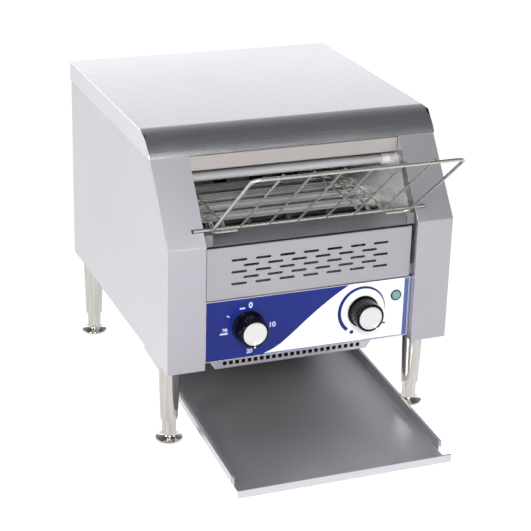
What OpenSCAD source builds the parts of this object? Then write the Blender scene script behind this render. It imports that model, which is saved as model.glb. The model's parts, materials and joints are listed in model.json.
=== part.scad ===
// Countertop conveyor toaster, millimetres, +Z up, front towards -Y.
// The origin is the centre of the whole footprint, on the worktop.

/* [Housing] */
// Width over the top cover
body_w = 368; // [352:2:390]
// Depth from the front pillars to the back of the cover
body_d = 418; // [412:2:440]
// Height of the top cover above the worktop
body_h = 384; // [378:1:400]
// Height of the housing's lower edge above the worktop
base_z = 111; // [106:1:114]
// Thickness of the stainless sheet
sheet = 1; // [0.8:0.1:1.2]
// Gap left between folded panels that lie face to face
fit_gap = 0.2; // [0.1:0.05:0.3]
// Depth of the cover's side and rear flanges
cover_flange = 26; // [20:1:30]
// Radius of the bend at the cover's front
cover_r = 45; // [40:1:60]
// Width of each front pillar
pillar_w = 48.6; // [46:0.2:52]
// Depth of the flange behind each pillar's inner edge
pillar_return = 20; // [14:1:26]
// Height above the belt at which the pillars start to lean back
knee_rise = 0.7; // [0.5:0.1:2]
// How far the pillars lean back at the top
pillar_lean = 67; // [60:1:74]
// Width of the flange under each side panel
floor_flange_w = 38; // [36:1:42]

/* [Front panels] */
// Depth of the control panel behind the pillars
panel_recess = 9; // [7:0.5:12]
// Height of the control panel's lower edge above the housing's
panel_rise = 5; // [4.5:0.5:7]
// Height of the control panel
panel_h = 79; // [74:1:84]
// Height of the vented heat guard
guard_h = 66.5; // [62:0.5:70]
// Gap beside the heat guard
guard_side_gap = 3; // [1:0.5:4]
// Length of one vent slot
vent_len = 19.5; // [12:0.5:24]
// Height of one vent slot
vent_h = 3; // [2:0.25:4]
// Distance between vent slots along a row
vent_pitch = 30.5; // [28:0.5:32]
// Distance between rows of vent slots
vent_row_pitch = 7.5; // [6:0.25:9]
// Number of rows of vent slots
vent_rows = 5; // [3:1:6]
// Number of slots in the longest row
vent_cols = 7; // [5:1:7]
// Height of the strip above the bread opening
hood_h = 20.5; // [16:0.5:24]

/* [Knobs and lamp] */
// Distance of the selector knob from the panel's left edge
selector_in = 56.6; // [50:0.2:66]
// Distance of the speed knob from the panel's right edge
speed_in = 63.6; // [56:0.2:70]
// Distance of both knobs below the panel's upper edge
knob_drop = 38; // [34:0.5:42]
// Diameter of a knob's skirt
knob_skirt_d = 41; // [36:0.5:44]
// How far the skirt stands out around a knob's grip
knob_skirt_w = 2.5; // [1.8:0.1:3]
// Width of the black rim around a knob's metal cap
knob_rim_w = 2; // [1.8:0.1:4]
// How far a knob stands out from the panel
knob_reach = 24; // [18:0.5:28]
// Diameter of a knob's spindle
spindle_d = 6; // [5:0.5:8]
// Distance of the indicator lamp from the panel's right edge
lamp_in = 20.1; // [16:0.1:24]
// Distance of the indicator lamp below the panel's upper edge
lamp_drop = 22; // [18:0.5:26]
// Diameter of the lamp's bezel
lamp_d = 14; // [12:0.5:18]

/* [Conveyor] */
// Height of the top of the belt above the heat guard
belt_rise = 6; // [5.5:0.5:8]
// Gap between the belt and the wall on each side of it
belt_side_gap = 16.4; // [12:0.2:20]
// Diameter of the belt's loop at each end
belt_loop_d = 60; // [56:1:62]
// Thickness of the belt's cross wires
belt_wire_d = 2.5; // [2:0.25:3.5]
// Distance of the front shaft behind the pillars
front_shaft_in = 84; // [82:1:88]
// Gap behind the belt in which the toast falls
drop_gap = 46.8; // [40:0.2:54]
// Diameter of both conveyor shafts
shaft_d = 10; // [8:0.5:12]
// Radial clearance of the shafts in their bushings
shaft_clear = 0.05; // [0.02:0.01:0.1]
// Nominal distance between belt wires
belt_pitch = 18; // [12:0.5:24]
// Number of toothed wheels on each shaft
wheel_count = 5; // [3:1:6]
// Teeth on each belt wheel
wheel_teeth = 12; // [8:1:16]

/* [Heating] */
// Number of heating tubes above the belt
upper_tube_count = 4; // [3:1:5]
// Number of heating tubes inside the belt
lower_tube_count = 4; // [3:1:4]
// Distance between neighbouring heating tubes
tube_pitch = 34; // [30:1:36]
// Outer diameter of a quartz tube
tube_d = 12; // [10:0.5:13]
// Distance of the upper tubes below the cover's flanges
upper_tube_drop = 38; // [34:1:44]
// Distance of the first upper tube behind the pillars
upper_tube_in = 99; // [96:1:106]
// Distance of the first lower tube behind the front shaft
lower_tube_in = 50; // [46:1:56]

/* [Loading rack] */
// Length of the rack from its pivot to its top rod
rack_len = 167; // [150:1:170]
// Angle of the rack above the horizontal at rest
rack_angle = 39.6; // [36:0.2:44]
// Gap between each side wire and the pillar beside it
rack_side_gap = 8.4; // [6:0.2:12]
// Height of the rack's pivot above the pillars' knee
rack_rise = 16.3; // [14:0.5:20]
// Length of the pivot rod lying in each pillar's notch
rack_tail = 13; // [10:0.5:16]
// Diameter of the rack's frame wire
rack_wire_d = 4.4; // [3.6:0.2:5]
// Diameter of the rack's thin wires
rack_rung_d = 3; // [2:0.2:3.4]
// Number of thin wires
rack_rungs = 6; // [4:1:8]

/* [Toast tray] */
// How far the tray's lip stands out in front of the pillars
tray_overhang = 122; // [120:1:140]
// Length of the tray
tray_len = 364; // [350:1:372]
// Gap between each end of the tray's lip and the leg beside it
tray_leg_gap = 13.1; // [8:0.1:18]
// Height of the tray's walls
tray_wall_h = 14; // [10:0.5:18]
// Width of the folded hem on the tray's walls
tray_hem = 4; // [3:0.5:5]
// Height of the tray's front lip
tray_lip_h = 10; // [6:0.5:12]
// Height of the lip's lower edge above the worktop
tray_low_z = 4.5; // [4.2:0.1:6]
// Rise of the tray for each millimetre of its length
tray_slope = 0.065; // [0.06:0.005:0.075]

/* [Toast slide] */
// Rise of the fixed slide for each millimetre of its length
slide_slope = 0.256; // [0.24:0.01:0.28]
// Radius of the bend that turns the toast forward
chute_r = 70; // [64:1:74]
// Length of the shelf under the tray
shelf_len = 212; // [180:2:230]

/* [Legs] */
// Distance from a side panel's face to the middle of its legs
leg_inset = 20.4; // [18:0.2:22]
// Distance from the pillars' face to the front legs
leg_front_in = 50.7; // [44:0.5:56]
// Distance from the rear legs to the back
leg_rear_in = 29.6; // [26:0.2:34]
// Diameter of a leg at the top
leg_top_d = 27; // [24:0.5:30]
// Diameter of a leg at the bottom
leg_low_d = 22; // [20:0.5:24]
// Height of a leg's lower end above the worktop
leg_low_z = 28; // [26:0.5:30]
// Diameter of a foot's neck
foot_neck_d = 17.5; // [16:0.5:19]
// Diameter of a foot's pad
foot_pad_d = 34; // [28:0.5:38]
// Diameter of a foot's screwed stem
foot_stem_d = 12; // [10:0.5:14]
// Radial clearance of the stem in the leg
foot_clear = 0.1; // [0.05:0.01:0.1]

/* [Drive] */
// Pitch of the drive chain
chain_pitch = 8; // [7.5:0.5:8.5]
// Teeth of the gear motor's sprocket
motor_teeth = 12; // [11:1:14]
// Teeth of the conveyor's sprocket
driven_teeth = 16; // [15:1:18]
// Distance between the two sprockets
chain_span = 78; // [76:1:84]

/* [Electrical pan] */
// Depth of the pan below the housing's lower edge
pan_drop = 29.6; // [28:0.2:32]
// Gap between the pan's mouth and the flange under each side panel
pan_side_gap = 23.3; // [18:0.1:28]
// How much narrower the pan's floor is than its mouth, on each side
pan_flare = 19.8; // [14:0.1:26]
// Distance of the pan's front behind the pillars
pan_in = 57; // [52:1:62]
// Gap behind the pan in which the toast turns forward
pan_rear_gap = 110.8; // [104:0.2:120]
// Side of one square hole in the pan's front
pan_hole = 5; // [3:0.25:6]
// Distance between the square holes
pan_hole_pitch = 8.15; // [7.4:0.05:9]
// Side of the cooling fan's frame
fan_w = 80; // [70:2:90]
// Radial clearance around the fan's blades
fan_clear = 1; // [0.8:0.1:1.5]

/* [Cord gland] */
// Diameter of the gland's hole in the rear panel
gland_hole_d = 16; // [12:0.5:18]
// Bore of the gland for the cord
gland_bore_d = 8; // [6:0.5:9]
// How far the gland stands out behind the housing
gland_reach = 14; // [10:0.5:20]

/* [Hidden] */
$fn = 48;
eps = 0.01;
// Length of a cut that passes right through one sheet
through = 8 * sheet;

// Fasteners: radii of screws, of their holes and of their heads
panel_screw_r = 1.6;
panel_hole_r = panel_screw_r + 0.2;
panel_head_r = 3;
drive_screw_r = 2;
drive_hole_r = drive_screw_r + 0.1;
drive_head_r = 3.5;
head_t = 1.9;
head_gap = 0.1;
stud_r = 4;
stud_hole_r = stud_r + 0.2;

// Overall layout from bottom to top
eave_z = body_h - cover_flange;
flange_top_z = base_z + sheet;
pan_top_z = flange_top_z + sheet;
pan_low_z = base_z - pan_drop;
pan_lip = 6;
panel_low_z = base_z + panel_rise;
panel_top_z = panel_low_z + panel_h;
guard_gap = 0.5;
guard_top_z = panel_top_z + guard_gap + guard_h;
belt_top_z = guard_top_z + belt_rise;
knee_z = belt_top_z + knee_rise;

// Overall layout from front to back
lean_rate = pillar_lean / (eave_z - knee_z);
rack_drop = rack_wire_d - 0.2;
rack_reach = rack_len * cos(rack_angle) + rack_drop * sin(rack_angle) + rack_wire_d / 2
    - rack_rise * lean_rate;
front_reach = max(tray_overhang, rack_reach);
front_y = -(front_reach + body_d + gland_reach) / 2 + front_reach;
rear_y = front_y + body_d;

// Overall layout from the middle to the sides
side_out = body_w / 2 - sheet - fit_gap;
side_in = side_out - sheet;
pillar_in = side_out - pillar_w + fit_gap + sheet;
wall_in = pillar_in + sheet + fit_gap;
wall_out = wall_in + sheet;
panel_half = pillar_in - 1.5 * fit_gap;
inner_half = wall_in - fit_gap;

// Back of the side panels and planes of the rear panel
side_rear_y = rear_y - sheet - fit_gap;
rear_panel_y = side_rear_y - sheet;
rear_flange_y = rear_panel_y - fit_gap - sheet;
rear_flange_w = 7;
inner_flange_w = 5;
chute_y = side_rear_y - 2 * sheet - 4;
rear_screw_inset = 20;
rear_screw_reach = 4;
top_flange = 15;

// Conveyor
belt_w = 2 * (inner_half - belt_side_gap);
belt_r = belt_loop_d / 2 - belt_wire_d / 2;
shaft_z = belt_top_z - belt_loop_d / 2;
front_shaft_y = front_y + front_shaft_in;
rear_shaft_y = chute_y - drop_gap - belt_loop_d / 2;
shaft_span = rear_shaft_y - front_shaft_y;
belt_inner_r = belt_r - belt_wire_d / 2;
run_gap = 0.3;
wheel_tip_r = belt_inner_r - run_gap;
wheel_w = 6;
wheel_tooth_h = 5;
wheel_x = belt_w / 2 - 15;
hub_wall = 4;
hub_w = wheel_w + 8;
bush_r = shaft_d / 2 + 3;
bush_flange_r = bush_r + 3;
bush_flange_t = 1.4;
bush_reach = 1.5;
shaft_reach = 6;

// Pan, from the gap below the housing's flanges to the gap under the falling toast
pan_mouth_half = side_out - floor_flange_w - pan_side_gap;
pan_floor_half = pan_mouth_half - pan_flare;
pan_front_y = front_y + pan_in;
pan_rear_y = chute_y - pan_rear_gap;

// Partition between the conveyor and the electrical space
partition_z = panel_top_z + 3;
partition_front_y = front_y + panel_recess + 3;
partition_rear_y = pan_rear_y + 9;

// Heating tubes
upper_tube_z = eave_z - upper_tube_drop;
lower_tube_z = belt_top_z - belt_wire_d - 8 - tube_d / 2;
tube_half = inner_half - 3;
tube_wall = 1.2;
coil_d = 8;
cap_r = tube_d / 2 + 1.6;
cap_len = 22;
cap_seat = 6;
seat_gap = 0.1;
pin_r = 2;
pin_len = 7;
reflector_gap = 10;
reflector_lip = 12;
upper_lip = 3;
reflector_splay = 5;

// Loading rack
rack_half_w = pillar_in - rack_side_gap;
rack_z = knee_z + rack_rise;
rack_y = front_y + rack_rise * lean_rate;
notch_clear = 0.1;
notch_end = 1.5;
rack_half_rod = pillar_in + rack_tail;
toe_len = 32;
lug_w = 9;
lug_in = 2;
ledge_gap = 2.5;
ledge_rise = 1.5;
ledge_fold = 10;
toe_z = rack_z - rack_drop * cos(rack_angle);
toe_y = rack_y - rack_drop * sin(rack_angle);

// Legs
leg_x = side_out - leg_inset + fit_gap + sheet;
leg_front_y = front_y + leg_front_in;
leg_rear_y = rear_y - leg_rear_in;
pad_edge_h = 3;
pad_cone_h = 2.5;
stem_top_z = leg_low_z + 30;
foot_gap = 0.3;
stud_in = 16;
washer_t = 1.4;
nut_t = 5;

// Toast tray and slide; heights follow the tray's floor
tray_front_y = front_y - tray_overhang;
tray_rear_y = tray_front_y + tray_len;
tray_lip_half = leg_x - leg_top_d / 2 - tray_leg_gap;
tray_in_half = tray_lip_half - 1 - tray_hem;
wall_setback = 25;
hem_drop = 9;
shelf_gap = 0.3;
slide_front_y = tray_rear_y + 4;
slide_front_z = tray_low_z + sheet + tray_slope * (slide_front_y - tray_front_y) + 1;
turn = 90 - atan(slide_slope);
slide_rear_y = chute_y - chute_r + chute_r * cos(turn);
slide_rear_z = slide_front_z + slide_slope * (slide_rear_y - slide_front_y);
chute_low_z = slide_rear_z + chute_r * sin(turn);
cheek_half = tray_in_half - 0.5;
hang_lap = 6;

// Drive in the right-hand compartment
motor_z = shaft_z - chain_span;
motor_pitch_r = chain_pitch / 2 / sin(180 / motor_teeth);
driven_pitch_r = chain_pitch / 2 / sin(180 / driven_teeth);
chain_half_h = 3.5;
chain_x = wall_out + 3;
chain_w = 5;
sprocket_tooth_h = 2.5;
bracket_x = chain_x + chain_w + 4;
bracket_t = 2;
gearbox_x = bracket_x + bracket_t + fit_gap;
gearbox_t = 15;
gearbox_w = 60;
gearbox_half = gearbox_w / 2;
motor_can_r = 27;
motor_can_t = side_in - gearbox_x - gearbox_t - 1;
motor_shaft_r = 4;
motor_shaft_in = 8;
screw_in = 8;
spacer_r = 4;
spacer_out = 6;
bracket_margin = 12;
bracket_drop = 4;

// Cooling fan in the pan
fan_y = (pan_front_y + pan_rear_y) / 2 + 20;
fan_z = pan_low_z + sheet + fit_gap;
fan_t = 25;
fan_wall = 2;
fan_bore_r = fan_w / 2 - fan_wall;
fan_hub_r = 18;
fan_strut_t = 2.5;
fan_axle_r = 2;
fan_axle_h = 12;
fan_rotor_z = fan_strut_t + 1.5;
fan_blades = 7;
fan_blade_tilt = 35;

// Control panel parts
panel_y = front_y + panel_recess;
panel_fold = 12;
selector_x = -panel_half + selector_in;
speed_x = panel_half - speed_in;
lamp_x = panel_half - lamp_in;
knob_z = panel_top_z - knob_drop;
lamp_z = panel_top_z - lamp_drop;
vent_rise = 0.7;
overlay_t = 0.4;
overlay_y = panel_y - overlay_t;
overlay_margin = 2.6;
overlay_low = 1;
overlay_high = 0.6;
knob_gap = 0.4;
knob_y = overlay_y - knob_gap;
skirt_t = 3;
knob_grip_r = knob_skirt_d / 2 - knob_skirt_w;
knob_cap_r = knob_grip_r - knob_rim_w;
cap_t = 1.2;
cap_fit = 0.05;
rim_t = 0.4;
knob_len = knob_reach - (panel_y - knob_y);
pointer_len = 9;
pointer_w = 1.6;
pointer_t = 0.5;
spindle_fit = 0.02;
spindle_end = 8;
spindle_in = 12;
lamp_body_r = lamp_d / 2 - 1.6;
lamp_wall = 1;
lamp_rim_t = 2.4;
lamp_depth = 14;

// Bodies behind the control panel: half their width, and their depth
switch_half = 22;
switch_depth = 32;
dial_half = 14;
dial_depth = 16;

// Speed controller's circuit board
board_in = 140;
board_len = 100;
board_h = 58;
board_gap = 10;
board_t = 1.6;

// Cord gland
gland_x = -(wall_out + side_in) / 2;
gland_z = base_z + 32;
gland_hex_r = gland_hole_d / 2 + 4;
gland_nut_t = 5;
gland_cap_r = gland_hole_d / 2 + 2;

// Folded-sheet helpers: a path in one plane, thickened to its left
function unit(v) = v / norm(v);
function left_of(a, b) = let(u = unit(b - a)) [-u[1], u[0]];
function mitre(p, i) = i == 0 ? left_of(p[0], p[1])
    : i == len(p) - 1 ? left_of(p[i - 1], p[i])
    : let(n = left_of(p[i - 1], p[i]), m = left_of(p[i], p[i + 1])) (n + m) / (1 + n * m);
function shifted(p, t) = [for (i = [0 : len(p) - 1]) p[i] + mitre(p, i) * t];
function backwards(p) = [for (i = [len(p) - 1 : -1 : 0]) p[i]];
function strip(p, t = sheet) = concat(p, backwards(shifted(p, t)));
function row(n, pitch) = [for (i = [0 : n - 1]) (i - (n - 1) / 2) * pitch];

// Extrude a Y-Z outline along X, centred, or from x0 to x1
module along_x(w) rotate([90, 0, 90]) linear_extrude(w, center = true) children();
module between_x(x0, x1) translate([(x0 + x1) / 2, 0, 0]) along_x(x1 - x0) children();
// Extrude an X-Z outline from y0 to y1
module between_y(y0, y1) translate([0, y1, 0]) rotate([90, 0, 0]) linear_extrude(y1 - y0) children();
// Box from its low corner to its high corner
module block(low, high) translate(low) cube(high - low);
// Cylinders along the axes
module rod_x(r, x0, x1, y, z) translate([x0, y, z]) rotate([0, 90, 0]) cylinder(r = r, h = x1 - x0);
module rod_y(r, y0, y1, x, z) translate([x, y0, z]) rotate([-90, 0, 0]) cylinder(r = r, h = y1 - y0);
module rod_z(r, z0, z1, x, y) translate([x, y, z0]) cylinder(r = r, h = z1 - z0);
module both_sides() {
    children();
    mirror([1, 0, 0]) children();
}

// ---------- housing ----------

// Side view of the cover's space, drawn inwards by inset and cut at low
module cover_outline(inset, low) {
    bend_y = front_y + pillar_lean - sheet + sqrt(cover_r * cover_r - pow(cover_r - cover_flange, 2));
    intersection() {
        union() {
            translate([bend_y, body_h - cover_r]) circle(cover_r - inset, $fn = 96);
            translate([bend_y, low]) square([rear_y - inset - bend_y, body_h - inset - low]);
        }
        translate([front_y, low]) square([body_d, body_h - low]);
    }
}

module top_cover() color("lightgray") {
    hem = 9;
    difference() {
        along_x(body_w) cover_outline(0, eave_z);
        along_x(body_w - 2 * sheet) cover_outline(sheet, eave_z - 1);
    }
    hem_y = front_y + pillar_lean - sheet / 2;
    block([-side_in + fit_gap, hem_y, eave_z], [side_in - fit_gap, hem_y + hem, eave_z + sheet]);
}

// Outer line of a pillar, from the floor to under the cover
function pillar_path() = [
    [front_y, base_z], [front_y, knee_z],
    [front_y + pillar_lean, eave_z - fit_gap], [front_y + pillar_lean + top_flange, eave_z - fit_gap]
];

module side_outline() {
    low_top = eave_z - fit_gap;
    polygon([
        [front_y, base_z], [front_y, knee_z], [front_y + pillar_lean, low_top],
        [side_rear_y, low_top], [side_rear_y, base_z]
    ]);
    cover_outline(sheet + fit_gap, low_top - eps);
}

// Open notch in the pillar's face that takes the end of the rack's pivot rod
module rack_notch() {
    r = rack_wire_d / 2 + notch_clear;
    end = rack_half_rod + notch_end;
    rod_x(r, pillar_in - 1, end, rack_y, rack_z);
    translate([0, rack_y, rack_z]) rotate([-90 + atan(1 / lean_rate), 0, 0])
        block([pillar_in - 1, -r, 0], [end, r, r]);
}

module side_panel() color("gainsboro") difference() {
    union() {
        between_x(side_in, side_out) intersection() {
            side_outline();
            translate([front_y, base_z]) square([side_rear_y - front_y, body_h]);
        }
        between_x(pillar_in, side_out - eps) polygon(strip(pillar_path(), -sheet));
        between_x(pillar_in, pillar_in + sheet) polygon([
            each pillar_path(), [front_y + pillar_return, knee_z], [front_y + pillar_return, base_z]
        ]);
        block([side_out - floor_flange_w, front_y, base_z],
            [side_in + eps, rear_panel_y - fit_gap, flange_top_z]);
        block([side_in - rear_flange_w, rear_flange_y, base_z],
            [side_in + eps, rear_flange_y + sheet, eave_z]);
    }
    rack_notch();
    for (y = [leg_front_y, leg_rear_y]) rod_z(stud_hole_r, base_z - 1, flange_top_z + 1, leg_x, y);
    for (z = rear_screw_z()) rod_y(panel_hole_r, rear_flange_y - 1, side_rear_y, rear_screw_x(), z);
}
function rear_screw_x() = side_in - rear_flange_w / 2;
function rear_screw_z() =
    [base_z + rear_screw_inset, (base_z + eave_z) / 2, eave_z - rear_screw_inset];

module side_panel_right() side_panel();
module side_panel_left() mirror([1, 0, 0]) side_panel();

module rear_panel() color("silver") difference() {
    before = rear_panel_y - 1;
    behind = side_rear_y + 1;
    louvre_w = 18;
    louvre_h = 3;
    louvre_z = base_z + 59;
    block([-side_in + fit_gap, rear_panel_y, base_z],
        [side_in - fit_gap, side_rear_y, body_h - sheet - fit_gap]);
    for (x = row(9, 28), z = row(4, 9))
        block([x - louvre_w / 2, before, louvre_z + z - louvre_h / 2],
            [x + louvre_w / 2, behind, louvre_z + z + louvre_h / 2]);
    rod_y(gland_hole_d / 2, before, behind, gland_x, gland_z);
    both_sides() for (z = rear_screw_z()) rod_y(panel_hole_r, before, behind, rear_screw_x(), z);
}

module rear_screws() color("darkgray") both_sides() for (z = rear_screw_z()) {
    head_y = side_rear_y + head_gap;
    rod_y(panel_screw_r, rear_flange_y - rear_screw_reach, head_y, rear_screw_x(), z);
    rod_y(panel_head_r, head_y, rear_y - fit_gap, rear_screw_x(), z);
}

// Pan under the housing: sloped sides, perforated front, fan intake in the floor
module base_pan() color("silver") {
    lip_half = side_out - floor_flange_w + pan_lip;
    floor_z = pan_low_z + sheet;
    hole_z = pan_low_z + 6.6;
    intake_r = 2.6;
    hub_r = 10;
    difference() {
        union() {
            between_y(pan_front_y, pan_rear_y) polygon(strip([
                [-lip_half, pan_top_z], [-pan_mouth_half, pan_top_z], [-pan_floor_half, floor_z],
                [pan_floor_half, floor_z], [pan_mouth_half, pan_top_z], [lip_half, pan_top_z]
            ], -sheet));
            between_y(pan_front_y, pan_front_y + sheet) end_outline(panel_low_z - fit_gap);
            between_y(pan_rear_y - sheet, pan_rear_y) end_outline(pan_top_z);
        }
        holes = floor((2 * pan_floor_half - 4 * pan_hole) / pan_hole_pitch) + 1;
        for (x = row(holes, pan_hole_pitch)) translate([x, pan_front_y, hole_z])
            cube([pan_hole, through, pan_hole], center = true);
        for (x = row(9, 8), y = row(9, 8)) if (norm([x, y]) < fan_bore_r && norm([x, y]) > hub_r)
            rod_z(intake_r, pan_low_z - 1, pan_low_z + sheet + 1, x, fan_y + y);
    }
}

// End wall of the pan, up to the given height
module end_outline(top_z) polygon([
    [-pan_floor_half, pan_low_z], [pan_floor_half, pan_low_z], [pan_mouth_half, flange_top_z],
    [pan_mouth_half, top_z], [-pan_mouth_half, top_z], [-pan_mouth_half, flange_top_z]
]);

// ---------- front panels ----------

module control_panel() color("lightgray") difference() {
    along_x(2 * panel_half) polygon(strip([
        [panel_y + panel_fold, panel_top_z], [panel_y, panel_top_z], [panel_y, panel_low_z],
        [pan_front_y + panel_fold, panel_low_z]
    ]));
    panel_holes();
}

// Holes for both spindles and the lamp, through the panel and its film
module panel_holes() {
    before = panel_y - 1;
    behind = panel_y + sheet + 1;
    for (x = [selector_x, speed_x]) rod_y(spindle_d / 2 + 2, before, behind, x, knob_z);
    rod_y(lamp_body_r + 0.1, before, behind, lamp_x, lamp_z);
}

module control_overlay() color("royalblue") difference() {
    block([-panel_half + overlay_margin, overlay_y, panel_low_z + overlay_low],
        [panel_half - overlay_margin, panel_y, panel_top_z - overlay_high]);
    panel_holes();
}

module heat_guard() color("silver") {
    low_z = panel_top_z + guard_gap;
    half = panel_half - guard_side_gap;
    difference() {
        along_x(2 * half) polygon(strip([
            [panel_y + panel_fold, guard_top_z], [panel_y, guard_top_z],
            [panel_y, low_z], [panel_y + panel_fold, low_z]
        ]));
        translate([0, panel_y, (guard_top_z + low_z) / 2 + vent_rise]) rotate([90, 0, 0])
            linear_extrude(through, center = true) vent_outlines();
    }
}

// Rows of slots, every second row with one slot less
module vent_outlines() for (i = [0 : vent_rows - 1], x = row(vent_cols - i % 2, vent_pitch))
    translate([x, (i - (vent_rows - 1) / 2) * vent_row_pitch]) slot_outline(vent_len, vent_h);

module slot_outline(length, height) {
    square([length - height, height], center = true);
    for (x = [-1, 1]) translate([x * (length - height) / 2, 0]) circle(height / 2, $fn = 24);
}

// Ledge from the guard to the belt, with a lug at each end that stops the rack
module feed_ledge() color("silver") {
    low_z = guard_top_z + ledge_gap;
    front = toe_y - sheet / 2;
    rear = front_shaft_y - belt_loop_d / 2 - 1;
    difference() {
        along_x(2 * inner_half) polygon(strip([[front, low_z], [rear, low_z + ledge_rise]]));
        pillar_relief();
    }
    both_sides() block([rack_half_w - lug_in, front, low_z],
        [rack_half_w - lug_in + lug_w, front + sheet, toe_z - rack_wire_d / 2 - run_gap]);
    both_sides() block([inner_half - sheet, front_y + pillar_return + 4, low_z - ledge_fold],
        [inner_half, rear, low_z + sheet]);
}

// Room for the pillars' inner flanges, cut from what passes between them
module pillar_relief() both_sides()
    block([panel_half, front_y - 1, base_z], [inner_half + 1, front_y + pillar_return + 1, eave_z]);

module hood_front() color("tan") {
    top = eave_z - fit_gap;
    y = front_y + pillar_lean + 2;
    top_fold = 14;
    low_fold = 8;
    along_x(2 * panel_half) polygon(strip([
        [y + top_fold, top - sheet], [y, top - sheet], [y, top - hood_h], [y + low_fold, top - hood_h]
    ]));
}

// ---------- chamber ----------

module inner_wall() color("silver") difference() {
    low = pan_top_z + 2 * fit_gap;
    high = eave_z - 3;
    front = front_y + 5;
    rear = rear_flange_y + sheet - fit_gap;
    x0 = wall_in - 1;
    x1 = wall_out + 1;
    union() {
        between_x(wall_in, wall_out) polygon([
            [front, low], [front, knee_z], [front + pillar_lean, high], [rear, high], [rear, low]
        ]);
        block([wall_in, rear - sheet, low], [wall_out + inner_flange_w, rear, high]);
    }
    for (y = [front_shaft_y, rear_shaft_y]) rod_x(bush_r + fit_gap / 2, x0, x1, y, shaft_z);
    for (p = tube_places()) rod_x(cap_r + seat_gap, x0, x1, p[0], p[1]);
    for (p = bracket_corners()) rod_x(drive_hole_r, x0, x1, p[0], p[1]);
}
module inner_wall_right() inner_wall();
module inner_wall_left() mirror([1, 0, 0]) inner_wall();

function tube_places() = concat(
    [for (i = [0 : upper_tube_count - 1]) [front_y + upper_tube_in + i * tube_pitch, upper_tube_z]],
    [for (i = [0 : lower_tube_count - 1]) [front_shaft_y + lower_tube_in + i * tube_pitch, lower_tube_z]]
);

module partition() color("gray") difference() {
    low = pan_top_z + 2 * fit_gap;
    front_fold = 13;
    rear_fold = 16;
    along_x(2 * inner_half) polygon(strip([
        [partition_front_y, partition_z + front_fold], [partition_front_y, partition_z],
        [partition_rear_y, partition_z], [partition_rear_y, low], [partition_rear_y - rear_fold, low]
    ], -sheet));
    pillar_relief();
}

// Shallow trough from y0 to y1, its edges turned up or down by lip
module reflector(y0, y1, z, lip) along_x(2 * inner_half) polygon(strip([
    [y0 - reflector_splay, z + lip], [y0, z], [y1, z], [y1 + reflector_splay, z + lip]
]));

module upper_reflector() color("whitesmoke") reflector(
    front_y + upper_tube_in - 16, rear_shaft_y + 16, upper_tube_z + tube_d / 2 + reflector_gap, -upper_lip);

// From just behind the front wheels to just behind the last lower tube
module lower_reflector() color("whitesmoke") {
    last_y = front_shaft_y + lower_tube_in + (lower_tube_count - 1) * tube_pitch;
    reflector(front_shaft_y + wheel_tip_r + 3.3 + reflector_splay, last_y + 15,
        lower_tube_z - tube_d / 2 - reflector_gap + 2, reflector_lip);
}

module tube_row(places) for (p = places) difference() {
    rod_x(tube_d / 2, -tube_half, tube_half, p[0], p[1]);
    rod_x(tube_d / 2 - tube_wall, -tube_half - 1, tube_half + 1, p[0], p[1]);
}
module upper_tubes() color("mistyrose") tube_row([for (p = tube_places()) if (p[1] == upper_tube_z) p]);
module lower_tubes() color("mistyrose") tube_row([for (p = tube_places()) if (p[1] != upper_tube_z) p]);

// One resistance coil along each tube, its ends resting in the caps
module heating_coils() color("dimgray") for (p = tube_places())
    rod_x(coil_d / 2, -tube_half + 1, tube_half - 1, p[0], p[1]);

// Ceramic cap on each end of each tube, with its terminal pin
module ceramic_caps() color("ivory") both_sides() for (p = tube_places()) {
    start = tube_half - cap_seat;
    difference() {
        rod_x(cap_r, start, start + cap_len, p[0], p[1]);
        rod_x(tube_d / 2 + seat_gap, start - 1, tube_half + seat_gap, p[0], p[1]);
    }
    rod_x(pin_r, start + cap_len - 1, start + cap_len + pin_len, p[0], p[1]);
}

// ---------- conveyor ----------

function belt_count() = round((2 * shaft_span + 2 * PI * belt_r) / belt_pitch);
// Point on the belt's loop at a distance s along it, as [y, z]
function on_belt(s) = let(half = PI * belt_r)
    s < shaft_span ? [front_shaft_y + s, shaft_z + belt_r]
    : s < shaft_span + half ? let(a = 90 - (s - shaft_span) / belt_r * 180 / PI)
        [rear_shaft_y + belt_r * cos(a), shaft_z + belt_r * sin(a)]
    : s < 2 * shaft_span + half ? [rear_shaft_y - (s - shaft_span - half), shaft_z - belt_r]
    : let(a = 270 - (s - 2 * shaft_span - half) / belt_r * 180 / PI)
        [front_shaft_y + belt_r * cos(a), shaft_z + belt_r * sin(a)];

module loop_outline(r) {
    for (y = [front_shaft_y, rear_shaft_y]) translate([y, shaft_z]) circle(r, $fn = 72);
    translate([front_shaft_y, shaft_z - r]) square([shaft_span, 2 * r]);
}

module conveyor_belt() color("silver") {
    band_w = 2;
    band_t = belt_wire_d + 0.4;
    loop_len = 2 * shaft_span + 2 * PI * belt_r;
    wire_half = belt_w / 2 - 0.75 * band_w;
    both_sides() between_x(belt_w / 2 - band_w, belt_w / 2) difference() {
        loop_outline(belt_r + band_t / 2);
        loop_outline(belt_r - band_t / 2);
    }
    for (i = [0 : belt_count() - 1]) let(p = on_belt(i * loop_len / belt_count()))
        rod_x(belt_wire_d / 2, -wire_half, wire_half, p[0], p[1]);
}

// Disc with tapered teeth, each half as wide at its root as the space it has
module toothed_outline(root_r, tip_r, teeth) {
    root = PI * root_r / teeth / 2;
    tip = root / 3;
    reach = sqrt(tip_r * tip_r - tip * tip);
    circle(root_r, $fn = 72);
    for (i = [0 : teeth - 1]) rotate(i * 360 / teeth)
        polygon([[0, -root], [root_r, -root], [reach, -tip], [reach, tip], [root_r, root], [0, root]]);
}

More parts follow.
